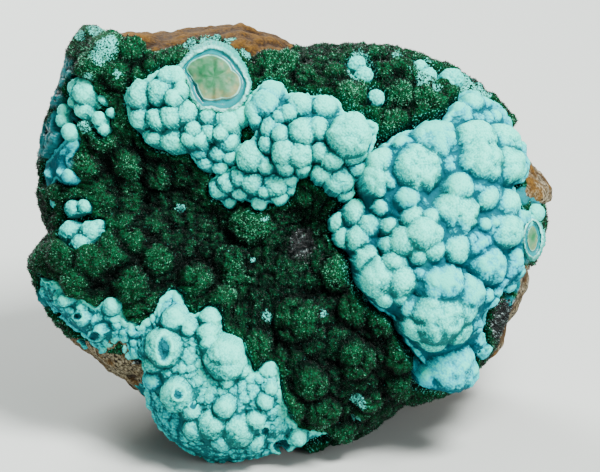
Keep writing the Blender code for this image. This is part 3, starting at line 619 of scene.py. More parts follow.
def seated(lumps: tuple, lift: float, heap: Array | float = 0.0, plump: float = 1.0) -> list:
    """Seat lumps on the crust: each centre stands off it by a share of the ball's radius.

    Args:
        lumps: (across, up, radius) or (across, up, radius, tone) of each.
        lift: The share of the radius.
        heap: How much higher each one stands, in millimetres.
        plump: What every radius is multiplied by.

    Returns:
        (centre, radius, tone) of each.
    """
    across = np.array([lump[0] for lump in lumps], float)
    up = np.array([lump[1] for lump in lumps], float)
    step = 0.8
    out = Block.face_out(across, up)
    slope_a = (Block.face_out(across + step, up) - Block.face_out(across - step, up)) / (2 * step)
    slope_u = (Block.face_out(across, up + step) - Block.face_out(across, up - step)) / (2 * step)
    facing = np.maximum(1 / np.sqrt(1 + slope_a ** 2 + slope_u ** 2), 0.45)
    heaps = np.broadcast_to(heap, across.shape)
    made = []
    for index, lump in enumerate(lumps):
        radius = lump[2] * plump
        tone = lump[3] if len(lump) > 3 else 0.0
        rise = (lift * radius + heaps[index]) / facing[index]
        made.append((np.array((lump[0], lump[1], out[index] + rise)), radius, tone))
    return made


def window_ways(across: float, up: float, wide: tuple, tall: tuple, columns: int, rows: int) -> Array:
    """Directions from the point behind through a window on the crust.

    A plane stands before that point, square to the way to the window's centre, and the ways run
    through an even grid on it.

    Args:
        across: The centre's place across the face, in millimetres.
        up: The centre's place up the face.
        wide: The window's reach to the left and right, in millimetres on the crust.
        tall: Its reach downwards and upwards.
        columns: Places across.
        rows: Places up.

    Returns:
        Unit directions, (rows, columns, 3).
    """
    ahead = np.array((across, up, Block.out_at(across, up))) - BEHIND
    away = float(np.linalg.norm(ahead))
    ahead /= away
    right = np.cross((0.0, 1.0, 0.0), ahead)
    right /= np.linalg.norm(right)
    above = np.cross(ahead, right)
    x = np.linspace(wide[0], wide[1], columns) / away
    y = np.linspace(tall[1], tall[0], rows) / away
    grid = ahead + x[None, :, None] * right + y[:, None, None] * above
    return grid / np.linalg.norm(grid, axis=2, keepdims=True)


def dome_ways(count: int, widest: float) -> Array:
    """Directions over the front of the block: a square grid wrapped onto a cap.

    The square's rings become the cap's rings, each an even step further from straight out.

    Args:
        count: Places along each side of the square.
        widest: The cap's edge, in degrees from straight out.

    Returns:
        Unit directions, (count, count, 3).
    """
    side = np.linspace(-1, 1, count)
    x, y = np.meshgrid(side, -side)
    ring = np.maximum(np.abs(x), np.abs(y))
    steep = np.abs(x) > np.abs(y)
    safe = np.where(ring == 0, 1.0, ring)
    turn_x = np.where(x >= 0, 0.0, math.pi) + math.pi / 4 * y / safe * np.where(x >= 0, 1, -1)
    turn_y = np.where(y >= 0, math.pi / 2, -math.pi / 2) - math.pi / 4 * x / safe * np.where(y >= 0, 1, -1)
    turn = np.where(steep, turn_x, turn_y)
    polar = ring * math.radians(widest)
    return np.stack([np.sin(polar) * np.cos(turn), np.sin(polar) * np.sin(turn), np.cos(polar)], axis=2)


class MeshMaker:
    """Puts grids into Blender's meshes."""

    @staticmethod
    def build(name: str, points: Array, faces: Array, values: dict[str, Array]) -> bpy.types.Object:
        """Make an object from places and faces, with a number of its own at each place.

        Args:
            name: The object's name.
            points: Places in the face's frame, in millimetres.
            faces: Corner numbers, one row for each face, all with as many corners.
            values: Attribute names, each with one number for each place.

        Returns:
            The new object, at the origin, with its place in its mesh.
        """
        world = Block.to_world(points)
        sides = faces.shape[1]
        mesh = bpy.data.meshes.new(name)
        mesh.vertices.add(len(world))
        mesh.vertices.foreach_set("co", world.astype(np.float32).ravel())
        mesh.loops.add(faces.size)
        mesh.loops.foreach_set("vertex_index", faces.astype(np.int32).ravel())
        mesh.polygons.add(len(faces))
        mesh.polygons.foreach_set("loop_start", np.arange(0, faces.size, sides, dtype=np.int32))
        mesh.polygons.foreach_set("loop_total", np.full(len(faces), sides, np.int32))
        for key, numbers in values.items():
            layer = mesh.attributes.new(key, "FLOAT", "POINT")
            layer.data.foreach_set("value", numbers.astype(np.float32))
        mesh.update(calc_edges=True)
        mesh.validate()
        made = bpy.data.objects.new(name, mesh)
        bpy.context.scene.collection.objects.link(made)
        return made

    @staticmethod
    def closed_sheet(name: str, sheet: Sheet, behind: Array, values: dict[str, Array],
                     facets: bool = False) -> bpy.types.Object:
        """Close a grid with a fan from its border to one point behind it.

        Args:
            name: The object's name.
            sheet: The grid, already in its final shape.
            behind: The fan's point, in the face's frame.
            values: Attribute names, each with one number for each place of the grid.
            facets: True leaves the faces flat.

        Returns:
            The new object.
        """
        rows, columns = sheet.places.shape[:2]
        index = np.arange(rows * columns).reshape(rows, columns)
        a, b = index[:-1, :-1].ravel(), index[:-1, 1:].ravel()
        c, d = index[1:, 1:].ravel(), index[1:, :-1].ravel()
        corners = np.concatenate([np.stack([a, d, c], 1), np.stack([a, c, b], 1)])
        border = np.concatenate([index[0, :-1], index[:-1, -1], index[-1, :0:-1], index[:0:-1, 0]])
        last = rows * columns
        fan = np.stack([border, np.roll(border, -1), np.full(len(border), last)], 1)
        points = np.vstack([Block.stood(sheet.flat), behind[None]])
        filled = {key: np.append(numbers, 0.0) for key, numbers in values.items()}
        made = MeshMaker.build(name, points, np.vstack([corners, fan]), filled)
        made.data.polygons.foreach_set("use_smooth", np.full(len(corners) + len(fan), not facets))
        return made

    @staticmethod
    def ring_stack(name: str, rings: Array, first: Array, last: Array,
                   values: dict[str, Array]) -> bpy.types.Object:
        """Join rings that widen from a first point and close them to a last point behind.

        Args:
            name: The object's name.
            rings: Places, (rings, places round, 3), that run counter-clockwise seen from outside.
            first: The point that the first ring surrounds.
            last: The point that the last ring is closed to.
            values: Attribute names, each with one number for each place of the rings.

        Returns:
            The new object.
        """
        rows, columns = rings.shape[:2]
        index = np.arange(rows * columns).reshape(rows, columns)
        after = np.roll(index, -1, axis=1)
        a, b, c, d = index[:-1].ravel(), after[:-1].ravel(), after[1:].ravel(), index[1:].ravel()
        top = np.full(columns, rows * columns)
        faces = [np.stack([a, d, c], 1), np.stack([a, c, b], 1), np.stack([top, index[0], after[0]], 1),
                 np.stack([after[-1], index[-1], top + 1], 1)]
        points = Block.stood(np.vstack([rings.reshape(-1, 3), first[None], last[None]]))
        filled = {}
        for key, numbers in values.items():
            grid = numbers.reshape(rows, columns)
            filled[key] = np.concatenate([numbers.ravel(), [grid[0].mean(), 0.0]])
        made = MeshMaker.build(name, points, np.vstack(faces), filled)
        made.data.polygons.foreach_set("use_smooth", np.ones(len(made.data.polygons), bool))
        return made


def add_node(tree: bpy.types.NodeTree, kind: str, settings: dict | None = None,
             links: dict | None = None) -> bpy.types.Node:
    """Add a node, set its values and wire its inputs.

    Args:
        tree: The tree that it joins.
        kind: The node's type name.
        settings: Property names, or input names or numbers, with their values.
        links: Input names or numbers, with the output sockets that feed them.

    Returns:
        The node.
    """
    node = tree.nodes.new(kind)
    for key, value in (settings or {}).items():
        if isinstance(key, str) and hasattr(node, key):
            setattr(node, key, value)
        else:
            node.inputs[key].default_value = value
    for key, socket in (links or {}).items():
        tree.links.new(socket, node.inputs[key])
    return node


class ShaderTree:
    """A new material's nodes, in the few kinds that the finishes are made of."""

    def __init__(self, name: str, roughness: float, specular: float) -> None:
        """Start a material with its shader and the Object coordinates in metres.

        Args:
            name: The material's name.
            roughness: The shader's roughness.
            specular: The shader's specular level.
        """
        self.material = bpy.data.materials.new(name)
        self.material.use_nodes = True
        self.tree = self.material.node_tree
        self.shader = self.tree.nodes["Principled BSDF"]
        self.shader.inputs["Roughness"].default_value = roughness
        self.shader.inputs["Specular IOR Level"].default_value = specular
        self.where = add_node(self.tree, "ShaderNodeTexCoord").outputs["Object"]

    def feed(self, name: str, socket: Socket) -> None:
        """Wire a socket to one of the shader's inputs."""
        self.tree.links.new(socket, self.shader.inputs[name])

    def read(self, name: str) -> Socket:
        """Read a number that the mesh holds at each place."""
        return add_node(self.tree, "ShaderNodeAttribute", {"attribute_name": name}).outputs["Fac"]

    def noise(self, size_mm: float, detail: float) -> Socket:
        """Add noise whose features have a size in millimetres."""
        settings = {"Scale": 1.0 / (size_mm * MM), "Detail": detail}
        return add_node(self.tree, "ShaderNodeTexNoise", settings, {"Vector": self.where}).outputs["Fac"]

    def combine(self, operation: str, *terms: Socket | float) -> Socket:
        """Work a value out of sockets and plain numbers.

        Args:
            operation: The sum's name, such as ADD.
            *terms: What goes into it, in order.

        Returns:
            Its result.
        """
        settings, links = {"operation": operation}, {}
        for place, term in enumerate(terms):
            (settings if isinstance(term, float) else links)[place] = term
        return add_node(self.tree, "ShaderNodeMath", settings, links).outputs[0]

    def ramp(self, value: Socket, *stops: tuple) -> Socket:
        """Add a colour ramp.

        Args:
            value: The socket that drives it.
            *stops: (position, hex colour or grey level) of each stop, in order.

        Returns:
            Its colour output.
        """
        node = add_node(self.tree, "ShaderNodeValToRGB", links={"Fac": value})
        elements = node.color_ramp.elements
        while len(elements) < len(stops):
            elements.new(0.5)
        for element, (position, shade) in zip(elements, stops):
            element.position = position
            element.color = linear(shade) if isinstance(shade, str) else (shade, shade, shade, 1.0)
        return node.outputs["Color"]

    def mixed(self, share: Socket, under: Socket, over: Socket | str) -> Socket:
        """Lay one colour over another.

        Args:
            share: How much of the upper colour shows.
            under: The lower colour.
            over: The upper colour, as a socket or a hex colour.

        Returns:
            The mixed colour.
        """
        node = add_node(self.tree, "ShaderNodeMix", {"data_type": "RGBA"}, {"Factor": share})
        self.tree.links.new(under, node.inputs[6])
        if isinstance(over, str):
            node.inputs[7].default_value = linear(over)
        else:
            self.tree.links.new(over, node.inputs[7])
        return node.outputs[2]

    def bump(self, height: Socket, strength: float, distance: float) -> None:
        """Roughen the shading by a height, over a distance in metres."""
        settings = {"Strength": strength, "Distance": distance}
        node = add_node(self.tree, "ShaderNodeBump", settings, {"Height": height})
        self.feed("Normal", node.outputs["Normal"])


@dataclass(frozen=True)
class Finish:
    """What every mineral's finish has in common: the name of the material that it makes."""

    name: str


@dataclass(frozen=True)
class PowderyChrysocolla(Finish):
    """Chrysocolla grown as balls with a frosting of fine quartz: matt, pale on the crowns.

    The copper silicate is turquoise between the balls, where painted shade darkens the creases,
    and the frosting whitens what stands proud; painted light pales what faces up and to the right,
    so each ball is shaded in its colour too.
    """

    # Painted shade: crease and abyss darken the creases; crown and frost are partly painted light on the
    # proud, lit places
    crease: str = "#0a5e5c"
    flank: str = "#08a09a"
    crown: str = "#0cc4b2"
    frost: str = "#5cf0d4"
    deep: str = "#02a2b6"
    abyss: str = "#014c5c"
    frost_mm: float = 0.30
    mottle_mm: float = 2.6
    roughness: float = 0.8
    specular: float = 0.08
    bump_mm: float = 0.09

    def make(self) -> bpy.types.Material:
        """Mix crease, flank and crown by relief, which paints shade into creases and light on faces towards
        the key, deepen by tone, and strew frost over it.
        """
        tree = ShaderTree(self.name, self.roughness, self.specular)
        relief, tone = tree.read("relief"), tree.read("tone")
        grains = tree.noise(self.frost_mm, 2.0)
        varied = tree.combine("MULTIPLY_ADD", grains, 0.5, -0.25)
        lowered = tree.combine("MULTIPLY_ADD", tree.noise(self.mottle_mm, 3.0), 0.35, -0.17)
        level = tree.combine("ADD", tree.combine("ADD", relief, varied), lowered)
        body = tree.ramp(level, (0.16, self.crease), (0.46, self.flank), (0.88, self.crown))
        deeps = tree.ramp(level, (0.2, self.abyss), (0.6, self.deep), (1.0, self.crown))
        deepened = tree.mixed(tone, body, deeps)
        proud = tree.combine("MULTIPLY_ADD", relief, 0.35, grains)
        strewn = tree.ramp(proud, (0.62, 0.0), (0.92, 0.75))
        clean = tree.combine("MULTIPLY_ADD", tone, -0.75, 1.0)
        thinned = tree.combine("MULTIPLY", strewn, clean)
        tree.feed("Base Color", tree.mixed(thinned, deepened, self.frost))
        tree.bump(grains, 0.5, self.bump_mm * MM)
        return tree.material


@dataclass(frozen=True)
class VelvetMalachite(Finish):
    """Malachite grown as lumps with a nap of needle crystals: almost black, with green glints.

    Painted shade makes the hollows between the lumps black and the crowns bottle green, and
    the lighter tips are painted glints, thicker on the crowns.
    """

    # Painted shade: hollow and glass_deep darken the crust's hollows; crown lightens its tops and tip dots
    # them with painted glints
    hollow: str = "#000503"
    body: str = "#01130b"
    crown: str = "#02240f"
    tip: str = "#0e5434"
    powder: str = "#4cc4b6"
    glass_deep: str = "#011c20"
    glass_pale: str = "#0c6a70"
    nap_mm: float = 0.28
    patch_mm: float = 5.0
    roughness: float = 0.7
    specular: float = 0.03
    bump_mm: float = 0.12

    def make(self) -> bpy.types.Material:
        """Mix hollow, body and crown by relief, painted shade in the hollows and painted light on the lit
        patches, and by patch noise, and dot it with lighter tips as painted glints.
        """
        tree = ShaderTree(self.name, self.roughness, self.specular)
        relief, dust, glass = (tree.read(name) for name in ("relief", "dust", "glass"))
        lowered = tree.combine("MULTIPLY_ADD", tree.noise(self.patch_mm, 4.0), 0.6, -0.3)
        level = tree.combine("ADD", relief, lowered)
        body = tree.ramp(level, (0.15, self.hollow), (0.5, self.body), (0.9, self.crown))
        nap = tree.noise(self.nap_mm, 2.0)
        sprinkle = tree.combine("MULTIPLY", nap, tree.combine("MULTIPLY_ADD", relief, 0.35, 0.45))
        dotted = tree.mixed(tree.ramp(sprinkle, (0.34, 0.0), (0.50, 0.8)), body, self.tip)
        settled = tree.combine("MULTIPLY_ADD", dust, 0.30, nap)
        dusted = tree.mixed(tree.ramp(settled, (0.72, 0.0), (0.82, 1.0)), dotted, self.powder)
        pane = tree.ramp(level, (0.35, self.glass_deep), (0.62, self.glass_pale))
        tree.feed("Base Color", tree.mixed(glass, dusted, pane))
        tree.feed("Roughness", tree.combine("MULTIPLY_ADD", glass, -0.45, self.roughness))
        tree.bump(nap, 0.8, self.bump_mm * MM)
        return tree.material


@dataclass(frozen=True)
class CrystalPoints(Finish):
    """Single crystals that stand up from the nap: glossy, and some lighter than the mass."""

    dark: str = "#000603"
    body: str = "#02170d"
    light: str = "#5cbc94"
    roughness: float = 0.28
    specular: float = 0.24

    def make(self) -> bpy.types.Material:
        """Colour each crystal by its own number, which holds painted shade and light from the crust, and
        leave it glossy.
        """
        tree = ShaderTree(self.name, self.roughness, self.specular)
        own = tree.read("own")
        tree.feed("Base Color", tree.ramp(own, (0.0, self.dark), (0.62, self.body), (1.0, self.light)))
        return tree.material


@dataclass(frozen=True)
class BrokenLimonite(Finish):
    """Limonite, the rusty earth of the deposit, freshly broken: ochre to umber, quite matt."""

    pale: str = "#5c400f"
    rust: str = "#281805"
    umber: str = "#080401"
    stone: str = "#5e5540"
    sand: str = "#958c74"
    grain_mm: float = 0.4
    patch_mm: float = 3.0
    roughness: float = 0.9
    specular: float = 0.25
    bump_mm: float = 0.2

    def make(self) -> bpy.types.Material:
        """Mix umber, rust and pale ochre by two sizes of noise, with grey stone in patches."""
        tree = ShaderTree(self.name, self.roughness, self.specular)
        grain = tree.noise(self.grain_mm, 3.0)
        half = tree.combine("MULTIPLY_ADD", grain, 0.5, 0.05)
        level = tree.combine("MULTIPLY_ADD", tree.read("relief"), 0.55, half)
        body = tree.ramp(level, (0.3, self.umber), (0.52, self.rust), (0.75, self.pale))
        greyer = tree.combine("MULTIPLY_ADD", tree.read("grey"), 0.25, tree.noise(self.patch_mm, 5.0))
        greys = tree.ramp(greyer, (0.62, 0.0), (0.76, 0.9))
        crumbs = tree.ramp(grain, (0.38, self.umber), (0.5, self.stone), (0.64, self.sand))
        tree.feed("Base Color", tree.mixed(greys, body, crumbs))
        tree.bump(grain, 0.7, self.bump_mm * MM)
        return tree.material


@dataclass(frozen=True)
class CutChrysocolla(Finish):
    """Chrysocolla broken across: a waxy sage core, a glassy teal ring and a chalky rim.

    The ring shines where the core is dull, so the break reads as a cut through layers.
    """

    heart: str = "#0c6038"
    sage: str = "#3f7350"
    cream: str = "#767c52"
    ring: str = "#02767a"
    chalk: str = "#7fe0d2"
    wall: str = "#109e92"
    mottle_mm: float = 1.1
    roughness: float = 0.6
    specular: float = 0.35
    bump_mm: float = 0.1

    def make(self) -> bpy.types.Material:
        """Colour the core outward from its heart, then lay the ring and the chalk over it."""
        tree = ShaderTree(self.name, self.roughness, self.specular)
        mottle = tree.noise(self.mottle_mm, 5.0)
        moved = tree.combine("MULTIPLY_ADD", mottle, 1.6, -0.9)
        level = tree.combine("ADD", tree.read("spread"), moved)
        colour = tree.ramp(level, (0.1, self.heart), (0.5, self.sage), (0.95, self.cream))
        shares = {name: tree.read(name) for name in ("ring", "wall", "chalk")}
        for name, share in shares.items():
            colour = tree.mixed(share, colour, getattr(self, name))
        tree.feed("Base Color", colour)
        tree.feed("Roughness", tree.combine("MULTIPLY_ADD", shares["ring"], -0.4, self.roughness))
        tree.bump(mottle, 0.25, self.bump_mm * MM)
        return tree.material


def every_ball() -> list:
    """All the chrysocolla's balls and coats, seated on the crust."""
    every = DOME_LUMPS + CENTRE_LUMPS + RIGHT_LUMPS + LOWER_LUMPS + CORNER_LUMPS
    every += LEFT_DRAPE_LUMPS + TREFOIL_LUMPS + tuple(ball for pair in TOP_BALLS for ball in pair)
    every += LOWER_COATS + LEFT_DRAPE_COATS + RIGHT_COATS
    return seated(every, 0.0)


@dataclass
class MalachiteCrust:
    """The dark green crust: lumps of three sizes and a nap of crystals over the block's front."""

    count: int = 312
    widest: float = 104.0
    seam_out: float = -6.5
    sink: float = 2.4
    shrink: float = 0.3
    ball_share: float = 0.72
    lump_pitch: float = 4.0
    lump_rise: float = 1.15
    pebble_pitch: float = 2.0
    pebble_rise: float = 0.75
    bead_pitch: float = 0.9
    bead_rise: float = 0.36
    nap_pitch: float = 0.5
    nap_rise: float = 0.16
    sheet: Sheet = field(init=False)
    bare: Array = field(init=False)
    druse: Array = field(init=False)
    green: Array = field(init=False)
    relief: Array = field(init=False)

    def skin_height(self, points: Array, normals: Array, cover: Array) -> Array:
        """Listed balls over cells of two sizes, sunk where chrysocolla covers them.

        Args:
            points: Places on the block, in millimetres.
            normals: Their outward directions.
            cover: How well chrysocolla covers each place, from 0 to 1.

        Returns:
            The height of the crust's lumps over the block.
        """
        balls = lump_height(points, normals, seated(MALACHITE_LUMPS, -0.05), 0.7)
        bent = points + 0.9 * np.stack([Grain.smooth(points, 2.6, seed) for seed in (81, 82, 83)], 1)
        near, _ = Grain.cells(bent, self.lump_pitch, 11)
        lumps = self.lump_rise * (1.2 * np.sqrt(np.clip(1 - (near / 0.85) ** 2, 0, 1)) - 0.5)
        height = self.ball_share * np.maximum(balls, -0.3) + lumps * np.where(balls > 0, 0.8, 1.0)
        for pitch, rise, seed in ((self.pebble_pitch, self.pebble_rise, 23),
                                  (self.bead_pitch, self.bead_rise, 29)):
            bent = points + 0.3 * pitch * Grain.smooth(points, pitch, seed + 1)[:, None]
            small, _ = Grain.cells(bent, pitch, seed)
            height += rise * np.sqrt(np.clip(1 - (small / 0.75) ** 2, 0, 1))
        # The lumps flatten towards the right edge, its lower corner and the top left corner
        rim = np.maximum(points[:, 0] - 32.0, 0.85 * points[:, 0] - 0.5 * points[:, 1] - 31.0)
        rim = np.maximum(rim, 0.7 * (points[:, 1] - points[:, 0]) - 40.5)
        height *= 1 - 0.9 * smoothstep(rim, 0.0, 4.0)
        return height * (1 - cover) - 0.6 * cover

    def lip(self, points: Array) -> Array:
        """How surely each place is on the malachite's side of its edge, from 0 to 1.

        Args:
            points: Places on the block, in millimetres.

        Returns:
            1 on the malachite, falling to 0 behind the seam and beyond the lip.
        """
        ragged = 1.2 * Grain.smooth(points, 5.0, 5) + 0.5 * Grain.smooth(points, 1.6, 9)
        wander = 2.6 * Grain.smooth(points, 7.0, 15) + ragged
        back = self.seam_out + 6.0 * smoothstep(points[:, 0], 30.0, 37.0)
        seam = smoothstep(points[:, 2] + wander - back, -1.0, 1.5)
        gap = points[:, :2] - MIDDLE[:2]
        away = np.hypot(gap[:, 0], gap[:, 1])
        reach = Block.outline_radius(CRUST_LIP, np.arctan2(gap[:, 1], gap[:, 0]))
        return seam * smoothstep(reach - away + 0.4 * ragged, -0.5, 0.7)

    def dust(self, points: Array, depth: Array) -> Array:
        """How much pale powder lies at each place: round the bunches and at the named patches.

        Args:
            points: Places on the crust, in millimetres.
            depth: How deep inside a bunch each place is.

        Returns:
            One number from 0 to 1 for each place.
        """
        return np.maximum(0.4 * smoothstep(depth, 0.15, 0.4), patch_share(points, DUSTINGS))

    def build(self) -> bpy.types.Object:
        """Lay the grid over the front, push out the lumps, add the nap and close it behind."""
        ways = dome_ways(self.count, self.widest)
        flat = ways.reshape(-1, 3)
        reach = Block.crust_reach(flat)
        self.sheet = Sheet((MIDDLE + flat * reach[:, None]).reshape(ways.shape))
        points = self.sheet.flat
        depth, _ = bunch_depth(points, every_ball())
        inside = smoothstep(dome_share(points), -0.6, 0.6)
        cover = np.maximum(smoothstep(depth, 0.3, 0.6), inside)
        height = self.skin_height(points, self.sheet.normals(), cover)
        edge = self.lip(points)
        self.sheet.push(height * edge - self.sink * (1 - edge))
        hidden = (1 - edge) * smoothstep(-points[:, 2], 5.0, 10.0)
        shrunk = MIDDLE + (self.sheet.flat - MIDDLE) * (1 - self.shrink * hidden)[:, None]
        self.sheet = Sheet(shrunk.reshape(ways.shape))
        glass = patch_share(points, GLASSY)
        self.bare = edge * (1 - smoothstep(depth, 0.2, 0.4)) * (1 - inside) * (1 - glass)
        self.druse = edge * (1 - smoothstep(depth, 0.45, 0.7)) * patch_share(points, DRUSES)
        self.green = patch_share(points, LIT_GREEN_PATCHES)
        powder = self.dust(points, depth) * (1 - glass)
        points = self.sheet.flat
        nap = Grain.smooth(points, self.nap_pitch, 31) + 0.5 * Grain.smooth(points, self.nap_pitch / 2, 37)
        self.sheet.push(self.nap_rise * nap)
        # Painted shade: low relief darkens the crust's hollows and high relief lightens its crowns
        self.relief = 0.48 + 0.30 * self.sheet.relief(0.9) + 0.25 * self.sheet.relief(4.0)
        # Painted light: the lit patches are made lighter and greener
        self.relief = np.clip(self.relief + 0.35 * self.green, 0, 1)
        values = {"relief": self.relief, "dust": powder, "glass": glass}
        made = MeshMaker.closed_sheet("malachite_crust_skin", self.sheet, MIDDLE, values, True)
        made.data.materials.append(VelvetMalachite("malachite velvet").make())
        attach(made, "root")
        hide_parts("malachite_crust")
        return made


@dataclass
class CrystalNap:
    """Thousands of small crystals that stand on the crust, thickest where their share is high."""

    crust: MalachiteCrust
    name: str
    seed: int
    cover: str = "bare"
    count: int = 48000
    shortest: float = 0.10
    longest: float = 0.38
    girth: float = 0.085
    splay: float = 0.8
    # Crystals stand only above this height over the shelf, in metres
    lowest: float = 0.0012

    def build(self, finish: bpy.types.Material) -> bpy.types.Object:
        """Scatter three-sided points by the crust's area, each leaning its own way.

        Args:
            finish: The crystals' material.

        Returns:
            The nap, every crystal closed by a face of its own under the crust.
        """
        dice = np.random.default_rng(self.seed)
        places = self.crust.sheet.places
        corner, across, down = places[:-1, :-1], places[:-1, 1:], places[1:, :-1]
        area = np.linalg.norm(np.cross(across - corner, down - corner), axis=2)
        grid = places.shape[:2]
        bare = getattr(self.crust, self.cover).reshape(grid)[:-1, :-1]
        high = Block.to_world(self.crust.sheet.flat)[:, 2].reshape(grid)[:-1, :-1] > self.lowest
        share = (area * bare ** 2 * high).ravel()
        picks = dice.choice(len(share), self.count, p=share / share.sum())
        row, column = np.divmod(picks, grid[1] - 1)
        start = corner[row, column]
        foot = start + (across[row, column] - start) * dice.random((self.count, 1))
        foot += (down[row, column] - start) * dice.random((self.count, 1))
        normal = self.crust.sheet.normals().reshape(*grid, 3)[row, column]
        way = normal + self.splay * dice.normal(size=(self.count, 3))
        way /= np.linalg.norm(way, axis=1, keepdims=True)
        side = np.cross(way, dice.normal(size=(self.count, 3)))
        side /= np.linalg.norm(side, axis=1, keepdims=True)
        other = np.cross(way, side)
        length = dice.uniform(self.shortest, self.longest, (self.count, 1))
        girth = self.girth * dice.uniform(0.6, 1.4, (self.count, 1))
        ring = [foot - 0.1 * normal + girth * (math.cos(turn) * side + math.sin(turn) * other)
                for turn in (0.0, 2 * math.pi / 3, 4 * math.pi / 3)]
        points = np.stack(ring + [foot + way * length], axis=1).reshape(-1, 3)
        first = np.arange(self.count)[:, None] * 4
        faces = np.vstack([first + np.array(face) for face in ((0, 2, 1), (0, 1, 3), (1, 2, 3), (2, 0, 3))])
        # Painted shade and light: each crystal's random number is darkened in the crust's hollows and raised
        # in the lit patches
        relief = self.crust.relief.reshape(grid)[row, column]
        green = self.crust.green.reshape(grid)[row, column]
        own = np.clip(dice.random(self.count) ** (2.6 - 1.6 * green) * (0.35 + 0.85 * relief), 0, 1)
        made = MeshMaker.build(self.name, points, faces, {"own": np.repeat(own, 4)})
        made.data.materials.append(finish)
        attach(made, "root")
        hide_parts("malachite_crust")
        return made


@dataclass
class BrokenNodule:
    """A ball that was broken across: a core in a glassy groove, a crumbling rim and a wall."""

    name: str
    middle: tuple
    ring: tuple
    core: tuple
    stand: float
    slant: tuple
    bulge: float = 0.95
    creases: tuple = ()
    columns: int = 320
    rim_width: float = 0.30
    wall_width: float = 1.0
    wall_drop: float = 6.5
    # Rows of places on the core, the groove, the rim and the wall
    rows: tuple = (56, 23, 11, 33)

    def stacked(self, *bands: Array) -> Array:
        """Spread each band's values round the nodule and set the bands on each other."""
        return np.vstack([band + np.zeros(self.columns) for band in bands])

    def build(self, finish: bpy.types.Material) -> bpy.types.Object:
        """Stack rings from the core's heart over the groove and the rim and down the wall.

        Args:
            finish: The nodule's material.

        Returns:
            The nodule, closed behind.
        """
        turn = np.linspace(-math.pi, math.pi, self.columns, endpoint=False)
        core = Block.outline_radius(self.core, turn, self.middle)
        ring = np.maximum(Block.outline_radius(self.ring, turn, self.middle), core + 0.35)
        inner = np.linspace(0.02, 1.0, self.rows[0])[:, None]
        groove, lip, wall = (np.linspace(0.0, 1.0, count + 1)[1:, None] for count in self.rows[1:])
        reach = np.vstack([inner * core, core + (ring - core) * groove, ring + self.rim_width * lip,
                           ring + self.rim_width + self.wall_width * wall])
        split = np.zeros_like(turn)
        for crease in self.creases:
            bend = np.angle(np.exp(1j * (turn - math.radians(crease))))
            split += np.exp(-(bend / 0.22) ** 2)
        dome = self.bulge * (np.sqrt(np.clip(1 - (0.93 * inner) ** 2.6, 0, 1)) - 0.6 * split * inner ** 1.3)
        height = self.stacked(dome, 0.1 - 0.35 * np.sin(math.pi * groove) ** 0.7,
                              0.1 + 0.15 * np.sin(math.pi * lip), 0.1 - self.wall_drop * wall ** 1.4)
        across = self.middle[0] + reach * np.cos(turn)
        up = self.middle[1] + reach * np.sin(turn)
        base = Block.out_at(*self.middle)
        out = base + self.stand + height
        out -= self.slant[0] * (across - self.middle[0]) + self.slant[1] * (up - self.middle[1])
        rings = np.stack([across, up, out], axis=2)
        flat = rings.reshape(-1, 3)
        part = np.repeat(np.arange(4), np.array(self.rows) * self.columns)
        grain = 0.15 * Grain.smooth(flat, 0.5, 91) + 0.5 * Grain.smooth(flat, 1.6, 92)
        # Shares for the core, the groove, the rim and the wall
        rough = np.array((0.45, 0.15, 0.8, 1.0))[part]
        near, _ = Grain.cells(flat, 0.5, 43)
        crumbs = np.array((0.0, 0.0, 0.2, 0.35))[part] * (0.7 - near)
        aside = (flat - np.array((*self.middle, 0.0))) * np.array((1.0, 1.0, 0.0))
        aside /= np.maximum(np.linalg.norm(aside, axis=1, keepdims=True), 1e-6)
        flat = flat + np.outer(grain * rough + crumbs, (0, 0, 1)) + aside * (1.5 * crumbs)[:, None]
        worn = np.clip(0.75 + 0.9 * Grain.smooth(flat, 0.9, 93), 0, 1).reshape(reach.shape)
        edge = worn * self.stacked(0.8 * smoothstep(inner, 0.94, 0.985), 0 * groove,
                                   smoothstep(lip, 0.0, 0.4), 1 - smoothstep(wall, 0.0, 0.35))
        skin = self.stacked(0 * inner, 0 * groove, smoothstep(lip, 0.0, 0.5), 1 + 0 * wall)
        band = self.stacked(0 * inner, smoothstep(groove, 0.02, 0.15), 1 - smoothstep(lip, 0.0, 0.3),
                            0 * wall)
        low_right = 0.5 + 0.5 * np.cos(turn + math.radians(50.0))
        spread = self.stacked(inner * (0.55 + 0.45 * low_right), np.ones((sum(self.rows[1:]), 1)))
        middle = np.array((*self.middle, base))
        made = MeshMaker.ring_stack(self.name, flat.reshape(rings.shape),
                                    middle + np.array((0, 0, self.stand + self.bulge)),
                                    middle - np.array((0, 0, 4.0)),
                                    {"spread": spread, "ring": band, "chalk": edge, "wall": skin})
        made.data.materials.append(finish)
        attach(made, "root")
        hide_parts("chrysocolla_upper_growth")
        return made


def oval(across: float, up: float, wide: float, tall: float) -> tuple:
    """An oval outline of sixteen corners, with its half width and half height."""
    turns = [math.tau * step / 16 for step in range(16)]
    return tuple((across + wide * math.cos(turn), up + tall * math.sin(turn)) for turn in turns)


def nodules() -> list[BrokenNodule]:
    """The broken dome at the top and the small broken ball at the right edge."""
    return [
        BrokenNodule("broken_dome_face", DOME_MIDDLE, DOME_RING, DOME_CORE, 3.2, (0.0, 0.25),
                     creases=(23.0, 95.0, 177.0, 262.0)),
        BrokenNodule("broken_nodule", (35.9, -0.4), oval(35.9, -0.4, 1.15, 2.7), oval(35.8, -0.4, 0.7, 1.9),
                     3.7, (0.9, 0.0), bulge=0.25, columns=120, rim_width=0.16, wall_width=0.5,
                     wall_drop=4.2),
    ]


